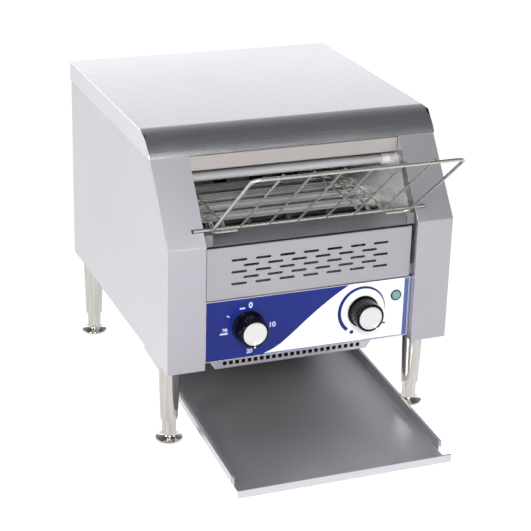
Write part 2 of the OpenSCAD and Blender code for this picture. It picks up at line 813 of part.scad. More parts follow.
module wheel_set(y) color("dimgray") for (x = row(wheel_count, 2 * wheel_x / (wheel_count - 1)))
    translate([x, y, shaft_z]) rotate([90, 0, 90]) difference() {
        union() {
            linear_extrude(wheel_w, center = true)
                toothed_outline(wheel_tip_r - wheel_tooth_h, wheel_tip_r, wheel_teeth);
            cylinder(r = shaft_d / 2 + hub_wall, h = hub_w, center = true);
        }
        cylinder(r = shaft_d / 2 + spindle_fit, h = hub_w + 2, center = true);
    }
module drive_wheels() wheel_set(rear_shaft_y);
module idler_wheels() wheel_set(front_shaft_y);

module drive_shaft() color("lightslategray")
    rod_x(shaft_d / 2, -wall_out - shaft_reach, chain_x + chain_w + 1, rear_shaft_y, shaft_z);
module idler_shaft() color("lightslategray")
    rod_x(shaft_d / 2, -wall_out - shaft_reach, wall_out + shaft_reach, front_shaft_y, shaft_z);

// Flanged bushings that carry both shafts in the inner walls
module shaft_bushings() color("peru") both_sides() for (y = [front_shaft_y, rear_shaft_y]) difference() {
    flange_x = wall_in - fit_gap;
    union() {
        rod_x(bush_r, flange_x - eps, wall_out + bush_reach, y, shaft_z);
        rod_x(bush_flange_r, flange_x - bush_flange_t, flange_x, y, shaft_z);
    }
    rod_x(shaft_d / 2 + shaft_clear, flange_x - bush_flange_t - 1, wall_out + bush_reach + 1, y, shaft_z);
}

// ---------- drive ----------

// Outline around both sprockets, drawn outwards from the pitch line by grow
module chain_outline(grow) {
    r1 = motor_pitch_r + grow;
    r2 = driven_pitch_r + grow;
    a = asin((r2 - r1) / chain_span);
    translate([rear_shaft_y, motor_z]) {
        circle(r1, $fn = 72);
        translate([0, chain_span]) circle(r2, $fn = 72);
        polygon([
            [r1 * cos(a), -r1 * sin(a)], [r2 * cos(a), chain_span - r2 * sin(a)],
            [-r2 * cos(a), chain_span - r2 * sin(a)], [-r1 * cos(a), -r1 * sin(a)]
        ]);
    }
}

module drive_chain() color("slategray") between_x(chain_x, chain_x + chain_w) difference() {
    chain_outline(chain_half_h);
    chain_outline(-chain_half_h);
}

module sprocket(pitch_r, teeth, bore_r, z) color("gray") {
    tip = pitch_r - chain_half_h - run_gap;
    translate([chain_x + chain_w / 2, rear_shaft_y, z]) rotate([90, 0, 90]) difference() {
        linear_extrude(chain_w - 2, center = true) toothed_outline(tip - sprocket_tooth_h, tip, teeth);
        cylinder(r = bore_r + spindle_fit, h = chain_w, center = true);
    }
}
module motor_sprocket() sprocket(motor_pitch_r, motor_teeth, motor_shaft_r, motor_z);
module driven_sprocket() sprocket(driven_pitch_r, driven_teeth, shaft_d / 2, shaft_z);

module motor_shaft() color("lightslategray")
    rod_x(motor_shaft_r, chain_x - 1, gearbox_x + motor_shaft_in, rear_shaft_y, motor_z);

module gear_motor() color("darkslategray") difference() {
    can_x = gearbox_x + gearbox_t;
    union() {
        block([gearbox_x, rear_shaft_y - gearbox_half, motor_z - gearbox_half],
            [can_x, rear_shaft_y + gearbox_half, motor_z + gearbox_half]);
        rod_x(motor_can_r, can_x, can_x + motor_can_t, rear_shaft_y, motor_z);
    }
    rod_x(motor_shaft_r + shaft_clear, gearbox_x - 1, gearbox_x + motor_shaft_in + run_gap,
        rear_shaft_y, motor_z);
    for (p = gearbox_corners()) rod_x(drive_hole_r, gearbox_x - 1, gearbox_x + screw_in + 1, p[0], p[1]);
}

function corners(y, z, half_y, half_z) =
    [for (i = [-1, 1], j = [-1, 1]) [y + i * half_y, z + j * half_z]];
function bracket_corners() =
    corners(rear_shaft_y, motor_z - bracket_drop, gearbox_half + spacer_out, gearbox_half - 4);
function gearbox_corners() = corners(rear_shaft_y, motor_z, gearbox_half - 5, gearbox_half - 5);

// Plate that carries the gear motor, on four spacers from the inner wall
module motor_bracket() color("silver") difference() {
    half_y = gearbox_half + bracket_margin;
    face_x = bracket_x + bracket_t;
    union() {
        block([bracket_x, rear_shaft_y - half_y, motor_z - gearbox_half - bracket_drop],
            [face_x, rear_shaft_y + half_y, motor_z + gearbox_half]);
        for (p = bracket_corners()) rod_x(spacer_r, wall_out + fit_gap, bracket_x + eps, p[0], p[1]);
    }
    rod_x(2 * motor_shaft_r, bracket_x - 1, face_x + 1, rear_shaft_y, motor_z);
    for (p = bracket_corners()) rod_x(drive_hole_r, wall_out - 1, face_x + 1, p[0], p[1]);
    for (p = gearbox_corners()) rod_x(drive_hole_r, bracket_x - 1, face_x + 1, p[0], p[1]);
}

// Screws through the wall into the bracket, and through the bracket into the gearbox
module motor_screws() color("darkgray") {
    for (p = bracket_corners()) headed_screw(wall_in, bracket_x + bracket_t, p);
    for (p = gearbox_corners()) headed_screw(bracket_x, gearbox_x + screw_in, p);
}

// Screw along +X whose head lies just in front of the face at x0
module headed_screw(x0, x1, p) {
    rod_x(drive_screw_r, x0 - head_gap - eps, x1, p[0], p[1]);
    rod_x(drive_head_r, x0 - head_t, x0 - head_gap, p[0], p[1]);
}

// ---------- cooling fan ----------

module fan_frame() color("dimgray") translate([0, fan_y, fan_z]) difference() {
    half = fan_w / 2;
    strut_w = 4;
    union() {
        difference() {
            translate([-half, -half, 0]) cube([fan_w, fan_w, fan_t]);
            translate([0, 0, -1]) cylinder(r = fan_bore_r, h = fan_t + 2, $fn = 96);
        }
        for (a = [45 : 90 : 315]) rotate(a)
            translate([0, -strut_w / 2, 0]) cube([fan_bore_r + 1, strut_w, fan_strut_t]);
        cylinder(r = fan_hub_r - 1, h = fan_strut_t);
        cylinder(r = fan_axle_r, h = fan_axle_h);
    }
    for (x = [-1, 1], y = [-1, 1]) translate([x * (half - 4), y * (half - 4), -1])
        cylinder(r = drive_hole_r, h = fan_t + 2, $fn = 24);
}

module fan_rotor() color("black") translate([0, fan_y, fan_z + fan_rotor_z]) {
    height = fan_t - fan_rotor_z - 2;
    blade_t = 1.6;
    blade_w = 18;
    half_run = blade_w / 2 * cos(fan_blade_tilt) + blade_t;
    root = fan_hub_r - 2;
    tip = sqrt(pow(fan_bore_r - fan_clear, 2) - half_run * half_run);
    difference() {
        union() {
            cylinder(r = fan_hub_r, h = height);
            for (i = [0 : fan_blades - 1]) rotate(i * 360 / fan_blades)
                translate([root, 0, height / 2]) rotate([fan_blade_tilt, 0, 0])
                    translate([0, -blade_w / 2, -blade_t / 2]) cube([tip - root, blade_w, blade_t]);
        }
        translate([0, 0, -1]) cylinder(r = fan_axle_r + shaft_clear,
            h = fan_axle_h - fan_rotor_z + run_gap + 1, $fn = 32);
    }
}

// ---------- controls ----------

// Knob with its axis at x, its back at the panel and its front towards -Y
module knob(x) color("black") translate([x, knob_y, knob_z]) rotate([90, 0, 0]) difference() {
    skirt_r = knob_skirt_d / 2;
    rim_r = knob_cap_r + 0.4;
    rim_z = knob_len - rim_t;
    rotate_extrude($fn = 96) polygon([
        [0, 0], [skirt_r, 0], [skirt_r, skirt_t - 1], [skirt_r - 1, skirt_t], [knob_grip_r + 0.6, skirt_t],
        [knob_grip_r, skirt_t + 1], [rim_r + 1, rim_z - 1.1], [rim_r, rim_z], [0, rim_z]
    ]);
    translate([0, 0, knob_len - cap_t]) cylinder(r = knob_cap_r + cap_fit, h = cap_t, $fn = 96);
    translate([0, 0, -1]) cylinder(r = spindle_d / 2 + spindle_fit, h = knob_len - spindle_end + 2);
}
module selector_knob() knob(selector_x);
module speed_knob() knob(speed_x);

// Metal cap on a knob, with a cut pointer line turned to the given clock angle
module knob_cap(x, turn_deg) color("whitesmoke") translate([x, knob_y, knob_z]) rotate([90, 0, 0]) {
    translate([0, 0, knob_len - cap_t]) difference() {
        cylinder(r = knob_cap_r, h = cap_t, $fn = 96);
        rotate(turn_deg) translate([knob_cap_r - pointer_len, -pointer_w / 2, cap_t - pointer_t])
            cube([pointer_len + 1, pointer_w, cap_t]);
    }
}
module selector_cap() knob_cap(selector_x, -90);
module speed_cap() knob_cap(speed_x, -60);

module spindle(x) color("silver")
    rod_y(spindle_d / 2, knob_y - knob_len + spindle_end, panel_y + sheet + spindle_in, x, knob_z);
module selector_spindle() spindle(selector_x);
module speed_spindle() spindle(speed_x);

// Body behind the panel with a blind bore for its spindle and a row of tabs
module control_body(x, half, depth) {
    front = panel_y + sheet + fit_gap;
    rear = front + depth;
    tab_z = knob_z + half - 8;
    difference() {
        union() {
            block([x - half, front, knob_z - half], [x + half, rear, knob_z + half]);
            for (i = row(4, half / 2.2))
                block([x + i - 1.5, rear, tab_z], [x + i + 1.5, rear + 7, tab_z + 1]);
        }
        rod_y(spindle_d / 2 + shaft_clear, front - 1, front + spindle_in + run_gap, x, knob_z);
    }
}
module selector_switch() color("darkred") control_body(selector_x, switch_half, switch_depth);
module speed_potentiometer() color("steelblue") control_body(speed_x, dial_half, dial_depth);

// Circuit board on four standoffs from the right-hand inner wall
module speed_controller() color("darkgreen") {
    inset = 6;
    board_x = wall_in - board_gap;
    face_x = board_x - board_t;
    y0 = front_y + board_in;
    z0 = base_z + 16;
    block([face_x, y0, z0], [board_x, y0 + board_len, z0 + board_h]);
    for (y = [y0 + inset, y0 + board_len - inset], z = [z0 + inset, z0 + board_h - inset])
        rod_x(3, board_x - eps, wall_in - fit_gap, y, z);
    block([face_x - 18, y0 + 14, z0 + 8], [face_x + eps, y0 + 38, z0 + 50]);
    block([face_x - 12, y0 + 48, z0 + 12], [face_x + eps, y0 + 84, z0 + 30]);
    for (y = [y0 + 54, y0 + 76]) rod_x(7, face_x - 22, face_x + eps, y, z0 + 44);
}

module lamp_bezel() color("black") difference() {
    seat_y = overlay_y - head_gap;
    front = seat_y - lamp_rim_t;
    rear = panel_y + lamp_depth;
    union() {
        rod_y(lamp_d / 2, front, seat_y, lamp_x, lamp_z);
        rod_y(lamp_body_r, seat_y - eps, rear, lamp_x, lamp_z);
    }
    rod_y(lamp_body_r - lamp_wall, front - 1, rear + 1, lamp_x, lamp_z);
}
module lamp_lens() color("mediumseagreen") rod_y(lamp_body_r - lamp_wall - seat_gap,
    overlay_y - lamp_rim_t - 1, panel_y + lamp_depth + 4, lamp_x, lamp_z);

// ---------- supply ----------

// Block of screw terminals on the left-hand inner wall
module terminal_block() color("ivory") mirror([1, 0, 0]) difference() {
    ways = 5;
    pitch = 12;
    height = 22;
    face_x = wall_out + 17;
    mid_y = rear_shaft_y + 1;
    z0 = base_z + 20;
    block([wall_out + fit_gap, mid_y - ways * pitch / 2 - 1, z0],
        [face_x, mid_y + ways * pitch / 2 + 1, z0 + height]);
    for (y = row(ways, pitch)) rod_x(3, face_x - 8, face_x + 1, mid_y + y, z0 + height / 2);
}

module cord_gland() color("black") difference() {
    inside = rear_panel_y - fit_gap;
    outside = side_rear_y + fit_gap;
    nut_rear = outside + gland_nut_t;
    inner_end = inside - 2 * gland_nut_t;
    end = rear_y + gland_reach;
    union() {
        rod_y(gland_hole_d / 2 - seat_gap, inner_end, nut_rear, gland_x, gland_z);
        rod_y(gland_hex_r, inside - gland_nut_t, inside, gland_x, gland_z, $fn = 6);
        rod_y(gland_hex_r, outside, nut_rear, gland_x, gland_z, $fn = 6);
        rod_y(gland_cap_r, nut_rear - eps, end, gland_x, gland_z);
    }
    rod_y(gland_bore_d / 2, inner_end - 1, end + 1, gland_x, gland_z);
}

// ---------- toast path ----------

// Upright plate behind the belt that turns the falling toast forward
module rear_chute() color("silver") {
    top_z = upper_tube_z + tube_d / 2 + reflector_gap - 2;
    along_x(2 * inner_half) {
        translate([chute_y, chute_low_z]) square([sheet, top_z - chute_low_z]);
        translate([chute_y - chute_r, chute_low_z]) difference() {
            circle(chute_r + sheet, $fn = 144);
            circle(chute_r, $fn = 144);
            translate([-2 * chute_r, 0]) square([4 * chute_r, 2 * chute_r]);
            rotate(-turn) translate([-2 * chute_r, -3 * chute_r]) square([4 * chute_r, 3 * chute_r]);
        }
    }
}

// Fixed slide with its cheeks, and the shelf that carries the tray
module toast_slide() color("gray") {
    low_y = slide_front_y;
    shelf_y = low_y - shelf_len;
    shelf_z = tray_low_z + tray_slope * (low_y - tray_front_y) - shelf_gap;
    rear = slide_rear_y - 1;
    rear_z = slide_rear_z - slide_slope;
    along_x(2 * cheek_half) polygon(strip([
        [shelf_y, shelf_z - tray_slope * shelf_len], [low_y, shelf_z], [low_y, slide_front_z], [rear, rear_z]
    ], -sheet));
    hang_z = base_z - fit_gap;
    hang_y = low_y + 60;
    both_sides() {
        between_x(cheek_half - sheet, cheek_half) polygon([
            [low_y, shelf_z - sheet], [low_y, slide_front_z + 12], [hang_y, hang_z],
            [chute_y - 12, hang_z], [rear, rear_z]
        ]);
        block([cheek_half - sheet, hang_y, hang_z - sheet],
            [side_out - floor_flange_w + hang_lap, leg_rear_y - leg_top_d / 2 - 3, hang_z]);
    }
}

// Height of the tray's underside at a given y
function tray_z(y) = tray_low_z + tray_slope * (y - tray_front_y);

module toast_tray() color("darkgray") {
    inside = tray_in_half;
    outside = inside + tray_hem;
    lip_t = 2 * sheet;
    front = tray_front_y;
    wall_y = front + wall_setback;
    tray_strip(-inside - sheet, inside + sheet, front, 0, sheet);
    between_x(-tray_lip_half, tray_lip_half) polygon([
        [front, tray_low_z], [front, tray_low_z + tray_lip_h],
        [front + lip_t, tray_low_z + tray_lip_h], [front + lip_t, tray_z(front + lip_t)]
    ]);
    both_sides() {
        tray_strip(inside, inside + sheet, wall_y, 0, tray_wall_h);
        tray_strip(inside, outside, wall_y, tray_wall_h - sheet, tray_wall_h);
        tray_strip(outside - sheet, outside, wall_y, tray_wall_h - hem_drop, tray_wall_h);
    }
}

// Strip from y0 to the tray's rear, between two heights above the tray's underside
module tray_strip(x0, x1, y0, low, high) between_x(x0, x1) polygon([
    [y0, tray_z(y0) + low], [tray_rear_y, tray_z(tray_rear_y) + low],
    [tray_rear_y, tray_z(tray_rear_y) + high], [y0, tray_z(y0) + high]
]);

// ---------- loading rack ----------

// Wire rack; drawn flat with its length along Y, then stood up at its pivot
module loading_rack() color("whitesmoke") {
    r = rack_wire_d / 2;
    corner = 10;
    weld = 0.3;
    rod_x(r, -rack_half_rod, rack_half_rod, rack_y, rack_z);
    translate([0, rack_y, rack_z]) rotate([-rack_angle, 0, 0]) mirror([0, 1, 0]) {
        translate([0, 0, -rack_drop]) {
            both_sides() {
                rod_y(r, 0, rack_len - corner, rack_half_w, 0);
                translate([rack_half_w - corner, rack_len - corner, 0])
                    rotate_extrude(angle = 90) translate([corner, 0]) circle(r, $fn = 32);
                translate([rack_half_w, 0, 0]) sphere(r);
                rod_x(r, rack_half_w - toe_len, rack_half_w, 0, 0);
            }
            rod_x(r, -rack_half_w + corner, rack_half_w - corner, rack_len, 0);
        }
        for (x = row(rack_rungs, 2 * rack_half_w / (rack_rungs + 1)))
            rod_y(rack_rung_d / 2, 0, rack_len, x, -rack_drop + r + rack_rung_d / 2 - weld);
    }
}

// ---------- legs ----------

module each_leg() both_sides() for (y = [leg_front_y, leg_rear_y]) translate([leg_x, y, 0]) children();

module legs() color("silver") each_leg() difference() {
    translate([0, 0, leg_low_z])
        cylinder(r1 = leg_low_d / 2, r2 = leg_top_d / 2, h = base_z - fit_gap - leg_low_z);
    rod_z(foot_stem_d / 2 + foot_clear, leg_low_z - 1, stem_top_z + 2, 0, 0);
    rod_z(stud_r + seat_gap, base_z - stud_in - 1, base_z, 0, 0);
}

// Stud, washer and nut that hold each leg to the flange above it
module leg_studs() color("darkgray") each_leg() {
    washer_z = flange_top_z + fit_gap;
    nut_z = washer_z + washer_t;
    rod_z(stud_r, base_z - stud_in, nut_z + nut_t + 1, 0, 0);
    rod_z(2 * stud_r, washer_z, nut_z, 0, 0);
    rod_z(2 * stud_r - 1, nut_z - eps, nut_z + nut_t, 0, 0, $fn = 6);
}

module foot(x, y) color("gainsboro") translate([x, y, 0]) {
    neck_r = foot_neck_d / 2;
    neck_top_z = leg_low_z - foot_gap;
    cylinder(r = foot_pad_d / 2, h = pad_edge_h);
    translate([0, 0, pad_edge_h - eps]) cylinder(r1 = foot_pad_d / 2, r2 = neck_r, h = pad_cone_h);
    rod_z(neck_r, pad_edge_h, neck_top_z, 0, 0);
    rod_z(foot_stem_d / 2, neck_top_z - eps, stem_top_z, 0, 0);
}
module foot_front_left() foot(-leg_x, leg_front_y);
module foot_front_right() foot(leg_x, leg_front_y);
module foot_rear_left() foot(-leg_x, leg_rear_y);
module foot_rear_right() foot(leg_x, leg_rear_y);

top_cover();
side_panel_left();
side_panel_right();
rear_panel();
base_pan();
control_panel();
control_overlay();
heat_guard();
feed_ledge();
hood_front();
inner_wall_left();
inner_wall_right();
partition();
upper_reflector();
lower_reflector();
rear_chute();
toast_slide();
toast_tray();
loading_rack();
conveyor_belt();
drive_shaft();
drive_wheels();
idler_shaft();
idler_wheels();
shaft_bushings();
upper_tubes();
lower_tubes();
heating_coils();
ceramic_caps();
gear_motor();
motor_bracket();
motor_shaft();
motor_sprocket();
driven_sprocket();
drive_chain();
fan_frame();
fan_rotor();
selector_knob();
selector_cap();
selector_spindle();
selector_switch();
speed_knob();
speed_cap();
speed_spindle();
speed_potentiometer();
speed_controller();
lamp_lens();
lamp_bezel();
terminal_block();
cord_gland();
legs();
leg_studs();
foot_front_left();
foot_front_right();
foot_rear_left();
foot_rear_right();
rear_screws();
motor_screws();
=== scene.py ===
"""Dresses the conveyor toaster: one operator for each piece or group of like pieces."""

import json
import math

import bmesh
import bpy
from bpy.props import FloatProperty, FloatVectorProperty, IntProperty, PointerProperty
from bpy.types import Operator, Panel, PropertyGroup
from mathutils import Matrix, Vector


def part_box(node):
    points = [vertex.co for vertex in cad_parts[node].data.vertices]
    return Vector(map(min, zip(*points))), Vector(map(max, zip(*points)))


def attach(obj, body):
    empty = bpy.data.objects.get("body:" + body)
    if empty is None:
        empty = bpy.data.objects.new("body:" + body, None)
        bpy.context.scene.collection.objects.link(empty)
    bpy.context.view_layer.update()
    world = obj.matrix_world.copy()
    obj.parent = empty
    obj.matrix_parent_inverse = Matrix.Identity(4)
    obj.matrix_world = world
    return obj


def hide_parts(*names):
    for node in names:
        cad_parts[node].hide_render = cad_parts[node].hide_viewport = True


bl_info = {
    "name": "Conveyor toaster",
    "version": (1, 0, 0),
    "blender": (4, 5, 0),
    "location": "3D View > Sidebar > Toaster",
    "description": "Dresses the conveyor toaster's frame with its finished pieces",
    "category": "Object",
}

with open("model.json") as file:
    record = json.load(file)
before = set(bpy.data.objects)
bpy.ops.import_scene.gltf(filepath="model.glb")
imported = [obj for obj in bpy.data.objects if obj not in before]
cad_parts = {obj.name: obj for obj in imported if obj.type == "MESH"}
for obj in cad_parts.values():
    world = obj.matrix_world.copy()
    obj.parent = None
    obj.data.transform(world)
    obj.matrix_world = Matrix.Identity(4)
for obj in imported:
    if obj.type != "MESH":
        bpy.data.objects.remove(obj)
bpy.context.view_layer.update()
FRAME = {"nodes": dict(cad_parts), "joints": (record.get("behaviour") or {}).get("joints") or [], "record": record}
NODES = FRAME["nodes"]
JOINTS = {joint["name"]: joint for joint in FRAME["joints"]}
SLOT_OF = {part["node"]: part["material_slot"] for part in FRAME["record"]["subparts"]}
BODY_OF = {node: body for body, nodes in FRAME["record"]["behaviour"]["bodies"].items() for node in nodes}
MM = 0.001
FINISHES = {}
# Values of a noise texture between which it is stretched
NOISE_RANGE = (0.3, 0.7)
# Lines along a knob's grip
KNOB_SIDES = 96
# Points closer than this are merged
MERGE = 0.002 * MM


# ---------- sizes and colours ----------


def linear(text):
    """Linear colour of an sRGB hex value such as #c0c0c4."""
    shares = [int(text[i : i + 2], 16) / 255 for i in (1, 3, 5)]
    return tuple(s / 12.92 if s <= 0.04045 else ((s + 0.055) / 1.055) ** 2.4 for s in shares)


def length(name, text, millimetres):
    return FloatProperty(name=name, description=text, default=millimetres * MM, unit="LENGTH", precision=5)


def colour(name, text, value):
    return FloatVectorProperty(name=name, description=text, default=linear(value), subtype="COLOR", size=3)


class ToasterSizes(PropertyGroup):
    """Sizes of the pieces that are modelled here."""

    bend_radius: length("Bend radius", "Outer radius of the folds in the sheet", 1.3)
    rim_radius: length("Rim radius", "Rounding of the sheet's cut edges", 0.35)
    belt_wire: length("Belt wire", "Diameter of the belt's cross wires", 2.2)
    belt_pitch: length("Belt pitch", "Distance between the belt's cross wires", 18.0)
    belt_eye: length("Belt eye", "Height of the linked eyes along the belt's edges", 6.0)
    rack_wire: length("Rack frame wire", "Diameter of the rack's frame", 4.0)
    rack_rung: length("Rack wire", "Diameter of the rack's thin wires", 2.7)
    rack_length: length("Rack length", "From the pivot rod to the top wire", 167.0)
    rack_toe: length("Rack toe", "Length of the frame's ends that lie along the rod", 32.0)
    rack_gap: length("Rack gap", "From the rack's frame to the pillars", 8.4)
    rack_angle: FloatProperty(name="Rack angle", description="Rise of the rack in degrees", default=39.6)
    coil_wire: length("Coil wire", "Diameter of the heating wire", 0.9)
    coil_radius: length("Coil radius", "Outer radius of the heating coil", 4.0)
    coil_pitch: length("Coil pitch", "Distance between turns of the heating coil", 3.2)
    rack_rungs: IntProperty(name="Rack wires", description="Number of thin wires", default=6, min=2)


class ToasterColours(PropertyGroup):
    """Colours of the finishes."""

    cover: colour("Cover", "Brushed stainless of the cover", "#ebedf1")
    panels: colour("Panels", "Brushed stainless of the sides", "#dedee3")
    # The front sheets' steel is darker than the sides': painted shade
    front: colour("Front", "Brushed stainless of the front sheets", "#b9b7bd")
    # The hood's steel is darker and warmer than the cover's: painted shade and a painted warm reflection
    hood: colour("Hood", "Brushed stainless above the bread opening", "#c0bab8")
    bright: colour("Bright sheet", "Smooth stainless inside the chamber", "#e6e6e8")
    wire: colour("Wire", "Bright drawn wire", "#cdcac4")
    film: colour("Film", "White of the printed film", "#fbfcff")
    blue: colour("Blue", "Blue of the printed film", "#16277a")
    pale: colour("Pale blue", "Line round the white field", "#5969a6")
    marks: colour("Marks", "Numbers and ticks on the blue", "#cdd5fa")
    knob: colour("Knob", "Glossy black moulding", "#060507")
    cap: colour("Knob cap", "Spun aluminium", "#ececee")
    lens: colour("Lamp lens", "Green lens", "#86b4b2")


def sizes():
    return bpy.context.scene.toaster_sizes


def colours():
    return bpy.context.scene.toaster_colours


# ---------- finishes ----------


def add(tree, kind, inputs=None, **settings):
    """Adds one shader node with its settings; an input is a value or a socket to link from."""
    made = tree.nodes.new(kind)
    for name, value in settings.items():
        setattr(made, name, value)
    for key, value in (inputs or {}).items():
        if isinstance(value, bpy.types.NodeSocket):
            tree.links.new(value, made.inputs[key])
        else:
            made.inputs[key].default_value = value
    return made


def finish(name, shade, rough, grain=(1, 1, 1), size=1.0, tint=0.08, spread=0.08, relief=0.02, **constants):
    """A finish whose tint, gloss and relief follow one noise over a larger, softer cloud.

    grain stretches the noise, so (1, 40, 40) draws streaks along X that are size mm wide.
    relief is the height of the grain in mm, and constants go on the shader's own sockets.
    """
    material = bpy.data.materials.new(name)
    material.use_nodes = True
    tree = material.node_tree
    shader = tree.nodes["Principled BSDF"]
    place = add(tree, "ShaderNodeTexCoord").outputs["Object"]
    scale = [g / (size * MM) / max(grain) for g in grain]
    fine = add(tree, "ShaderNodeMapping", {"Vector": place, "Scale": scale})
    noise = add(tree, "ShaderNodeTexNoise", {"Vector": fine.outputs[0], "Scale": 1.0, "Detail": 5.0})
    cloud = add(tree, "ShaderNodeTexNoise", {"Vector": place, "Scale": 9.0, "Detail": 2.0})
    blend = add(tree, "ShaderNodeMix", {"Factor": 0.4, "A": noise.outputs["Fac"], "B": cloud.outputs["Fac"]})
    dark = [c * (1 - tint) for c in shade] + [1.0]
    light = [min(1.0, c * (1 + tint)) for c in shade] + [1.0]
    ramp = add(tree, "ShaderNodeValToRGB", {"Fac": blend.outputs[0]})
    for stop, position, shown in zip(ramp.color_ramp.elements, NOISE_RANGE, (dark, light)):
        stop.position, stop.color = position, shown
    gloss = add(tree, "ShaderNodeMapRange", {
        "Value": blend.outputs[0], "From Min": NOISE_RANGE[0], "From Max": NOISE_RANGE[1],
        "To Min": max(0.02, rough - spread), "To Max": rough + spread})
    bump = add(tree, "ShaderNodeBump", {
        "Height": noise.outputs["Fac"], "Strength": 1.0, "Distance": relief * MM})
    tree.links.new(ramp.outputs[0], shader.inputs["Base Color"])
    tree.links.new(gloss.outputs[0], shader.inputs["Roughness"])
    tree.links.new(bump.outputs[0], shader.inputs["Normal"])
    for socket, value in constants.items():
        shader.inputs[socket.replace("_", " ")].default_value = value
    FINISHES[name] = material
    return material


def steel(name, shade, rough, along, size=0.8, relief=0.004, Metallic=1.0):
    """Stainless sheet with its brushing along one axis.

    The real strokes are 0.1 mm wide; they are drawn wider, so that they show as a soft grain.
    """
    grain = [60, 60, 60]
    grain["XYZ".index(along)] = 1
    return finish(name, shade, rough, grain, size, tint=0.05, spread=0.05, relief=relief, Metallic=Metallic)


class TOASTER_OT_finishes(Operator):
    """Makes the finishes and puts them on the frame's nodes"""

    bl_idname = "toaster.finishes"
    bl_label = "Finishes"

    def execute(self, context):
        c = colours()
        # Brushed stainless, matt enough to blur what it reflects
        steel("cover_steel", c.cover, 0.27, "X")
        steel("panel_steel", c.panels, 0.36, "Z")
        steel("rear_steel", c.panels, 0.38, "X")
        # The front sheets' steel is darker than the sides': painted shade
        steel("front_steel", c.front, 0.36, "X")
        steel("pan_steel", linear("#d4d2d6"), 0.34, "X")
        # The hood's steel is darker and warmer than the cover's: painted shade and a painted warm reflection
        steel("hood_steel", c.hood, 0.34, "X")
        steel("tray_steel", c.panels, 0.30, "Y")
        # The tray's floor, in a darker and less metallic copy of the tray's steel: painted shade
        steel("shaded_floor_steel", linear("#bfbec2"), 0.34, "Y", size=1.2, relief=0.001, Metallic=0.75)
        # The same sheet on the leaning pillars, brushed across what it reflects, in a darker copy of the sides'
        # steel: painted shade
        steel("shaded_pillar_steel", linear("#bfbdc4"), 0.5, "Z", Metallic=0.8)
        # Smooth cold-rolled stainless, which mirrors the wires beside it
        steel("ledge_steel", linear("#bebcc2"), 0.3, "X", relief=0.002, Metallic=0.7)
        # A darker, duller copy of the sheet: painted shade on the ledge's lugs, the pan's underside and the
        # partition's front fold
        steel("painted_shade_steel", linear("#8e8c90"), 0.5, "Z", Metallic=0.8)
        steel("inner_steel", linear("#ededef"), 0.27, "Y", relief=0.002, Metallic=0.45)
        # Reflector sheet, darker than the chamber's bright steel: painted shade in the gaps between the tubes
        steel("reflector_steel", linear("#7f7c79"), 0.34, "X", relief=0.001)
        steel("chute_steel", c.bright, 0.36, "Z", relief=0.002)
        steel("bracket_steel", linear("#b4b4b2"), 0.42, "Z")
        # Drawn wire, polished, with faint draw marks
        finish("rack_wire", c.wire, 0.30, size=2.0, tint=0.06, relief=0.004, Metallic=0.9)
        finish("belt_wire", linear("#ebe8e3"), 0.2, size=2.0, tint=0.08, relief=0.006, Metallic=0.75)
        finish("wheel_steel", linear("#545352"), 0.48, size=1.5, tint=0.1, Metallic=1.0)
        finish("shaft_steel", linear("#a9a9ab"), 0.24, (1, 30, 30), 0.4, Metallic=1.0)
        finish("bushing_bronze", linear("#b5803c"), 0.36, size=1.0, tint=0.12, Metallic=1.0)
        # Satin quartz, milky through and through
        finish("quartz", linear("#dadadd"), 0.11, (1, 12, 12), 3.0, tint=0.04, spread=0.04, relief=0.002,
               Transmission_Weight=0.2, IOR=1.46, Coat_Weight=0.8)
        # Resistance wire, oxidised to a dull grey-brown
        finish("coil_wire", linear("#6f665e"), 0.5, size=1.0, tint=0.15, Metallic=1.0)
        # Steatite, dry-pressed and unglazed
        finish("ceramic", linear("#efece4"), 0.55, size=0.6, tint=0.04, relief=0.01)
        # Enamelled cast gearbox
        finish("motor_paint", linear("#3d4245"), 0.45, size=0.9, tint=0.1, relief=0.03, Coat_Weight=0.3)
        finish("chain_steel", linear("#6e6d70"), 0.4, size=1.0, tint=0.15, Metallic=1.0)
        # Glass-filled nylon of the fan, matt
        finish("fan_plastic", linear("#1b1b1d"), 0.5, size=0.4, relief=0.01)
        # Phenolic knob, moulded in a polished tool
        finish("knob_plastic", c.knob, 0.12, size=0.5, tint=0.1, spread=0.03, relief=0.001,
               Specular_IOR_Level=0.2)
        # Plated brass of the spindles
        finish("spindle_metal", linear("#b9b6ae"), 0.28, (30, 1, 30), 0.4, Metallic=1.0)
        finish("switch_plastic", linear("#2a2a2c"), 0.45, size=0.5, relief=0.008)
        # Glass-epoxy laminate with a green resist
        finish("board_laminate", linear("#1f5a38"), 0.35, size=0.8, tint=0.12, relief=0.01)
        # Polycarbonate lens, tinted through
        finish("lens_plastic", c.lens, 0.12, size=1.2, tint=0.1, spread=0.03, relief=0.004,
               Transmission_Weight=0.2, IOR=1.58)
        finish("bezel_plastic", linear("#2c4a4c"), 0.22, size=0.5, spread=0.03)
        finish("terminal_plastic", linear("#e8e4d8"), 0.5, size=0.5, relief=0.008)
        finish("gland_plastic", linear("#151517"), 0.42, size=0.4, relief=0.01)
        # Polished and plated legs, their colour in vertical streaks: painted reflections of dark surroundings
        finish("leg_chrome", linear("#cfccc6"), 0.12, (1, 1, 0.03), 4.0, tint=0.2, spread=0.05, relief=0.003,
               Metallic=1.0)
        finish("screw_steel", linear("#b8b8ba"), 0.3, size=0.6, tint=0.06, Metallic=1.0)
        # Polyester film, printed on its back and lightly textured in front
        film = {"size": 0.35, "tint": 0.03, "spread": 0.04, "relief": 0.004, "Specular_IOR_Level": 0.3}
        finish("overlay_film", c.film, 0.34, **film)
        finish("film_blue", c.blue, 0.34, **film)
        finish("film_pale", c.pale, 0.34, **film)
        finish("film_marks", c.marks, 0.34, **film)
        finish("pointer_white", linear("#f2f2f4"), 0.35, size=0.3, tint=0.03)
        for node, obj in NODES.items():
            for place in range(len(obj.data.materials)):
                obj.data.materials[place] = FINISHES.get(SLOT_OF[node])
        return {"FINISHED"}


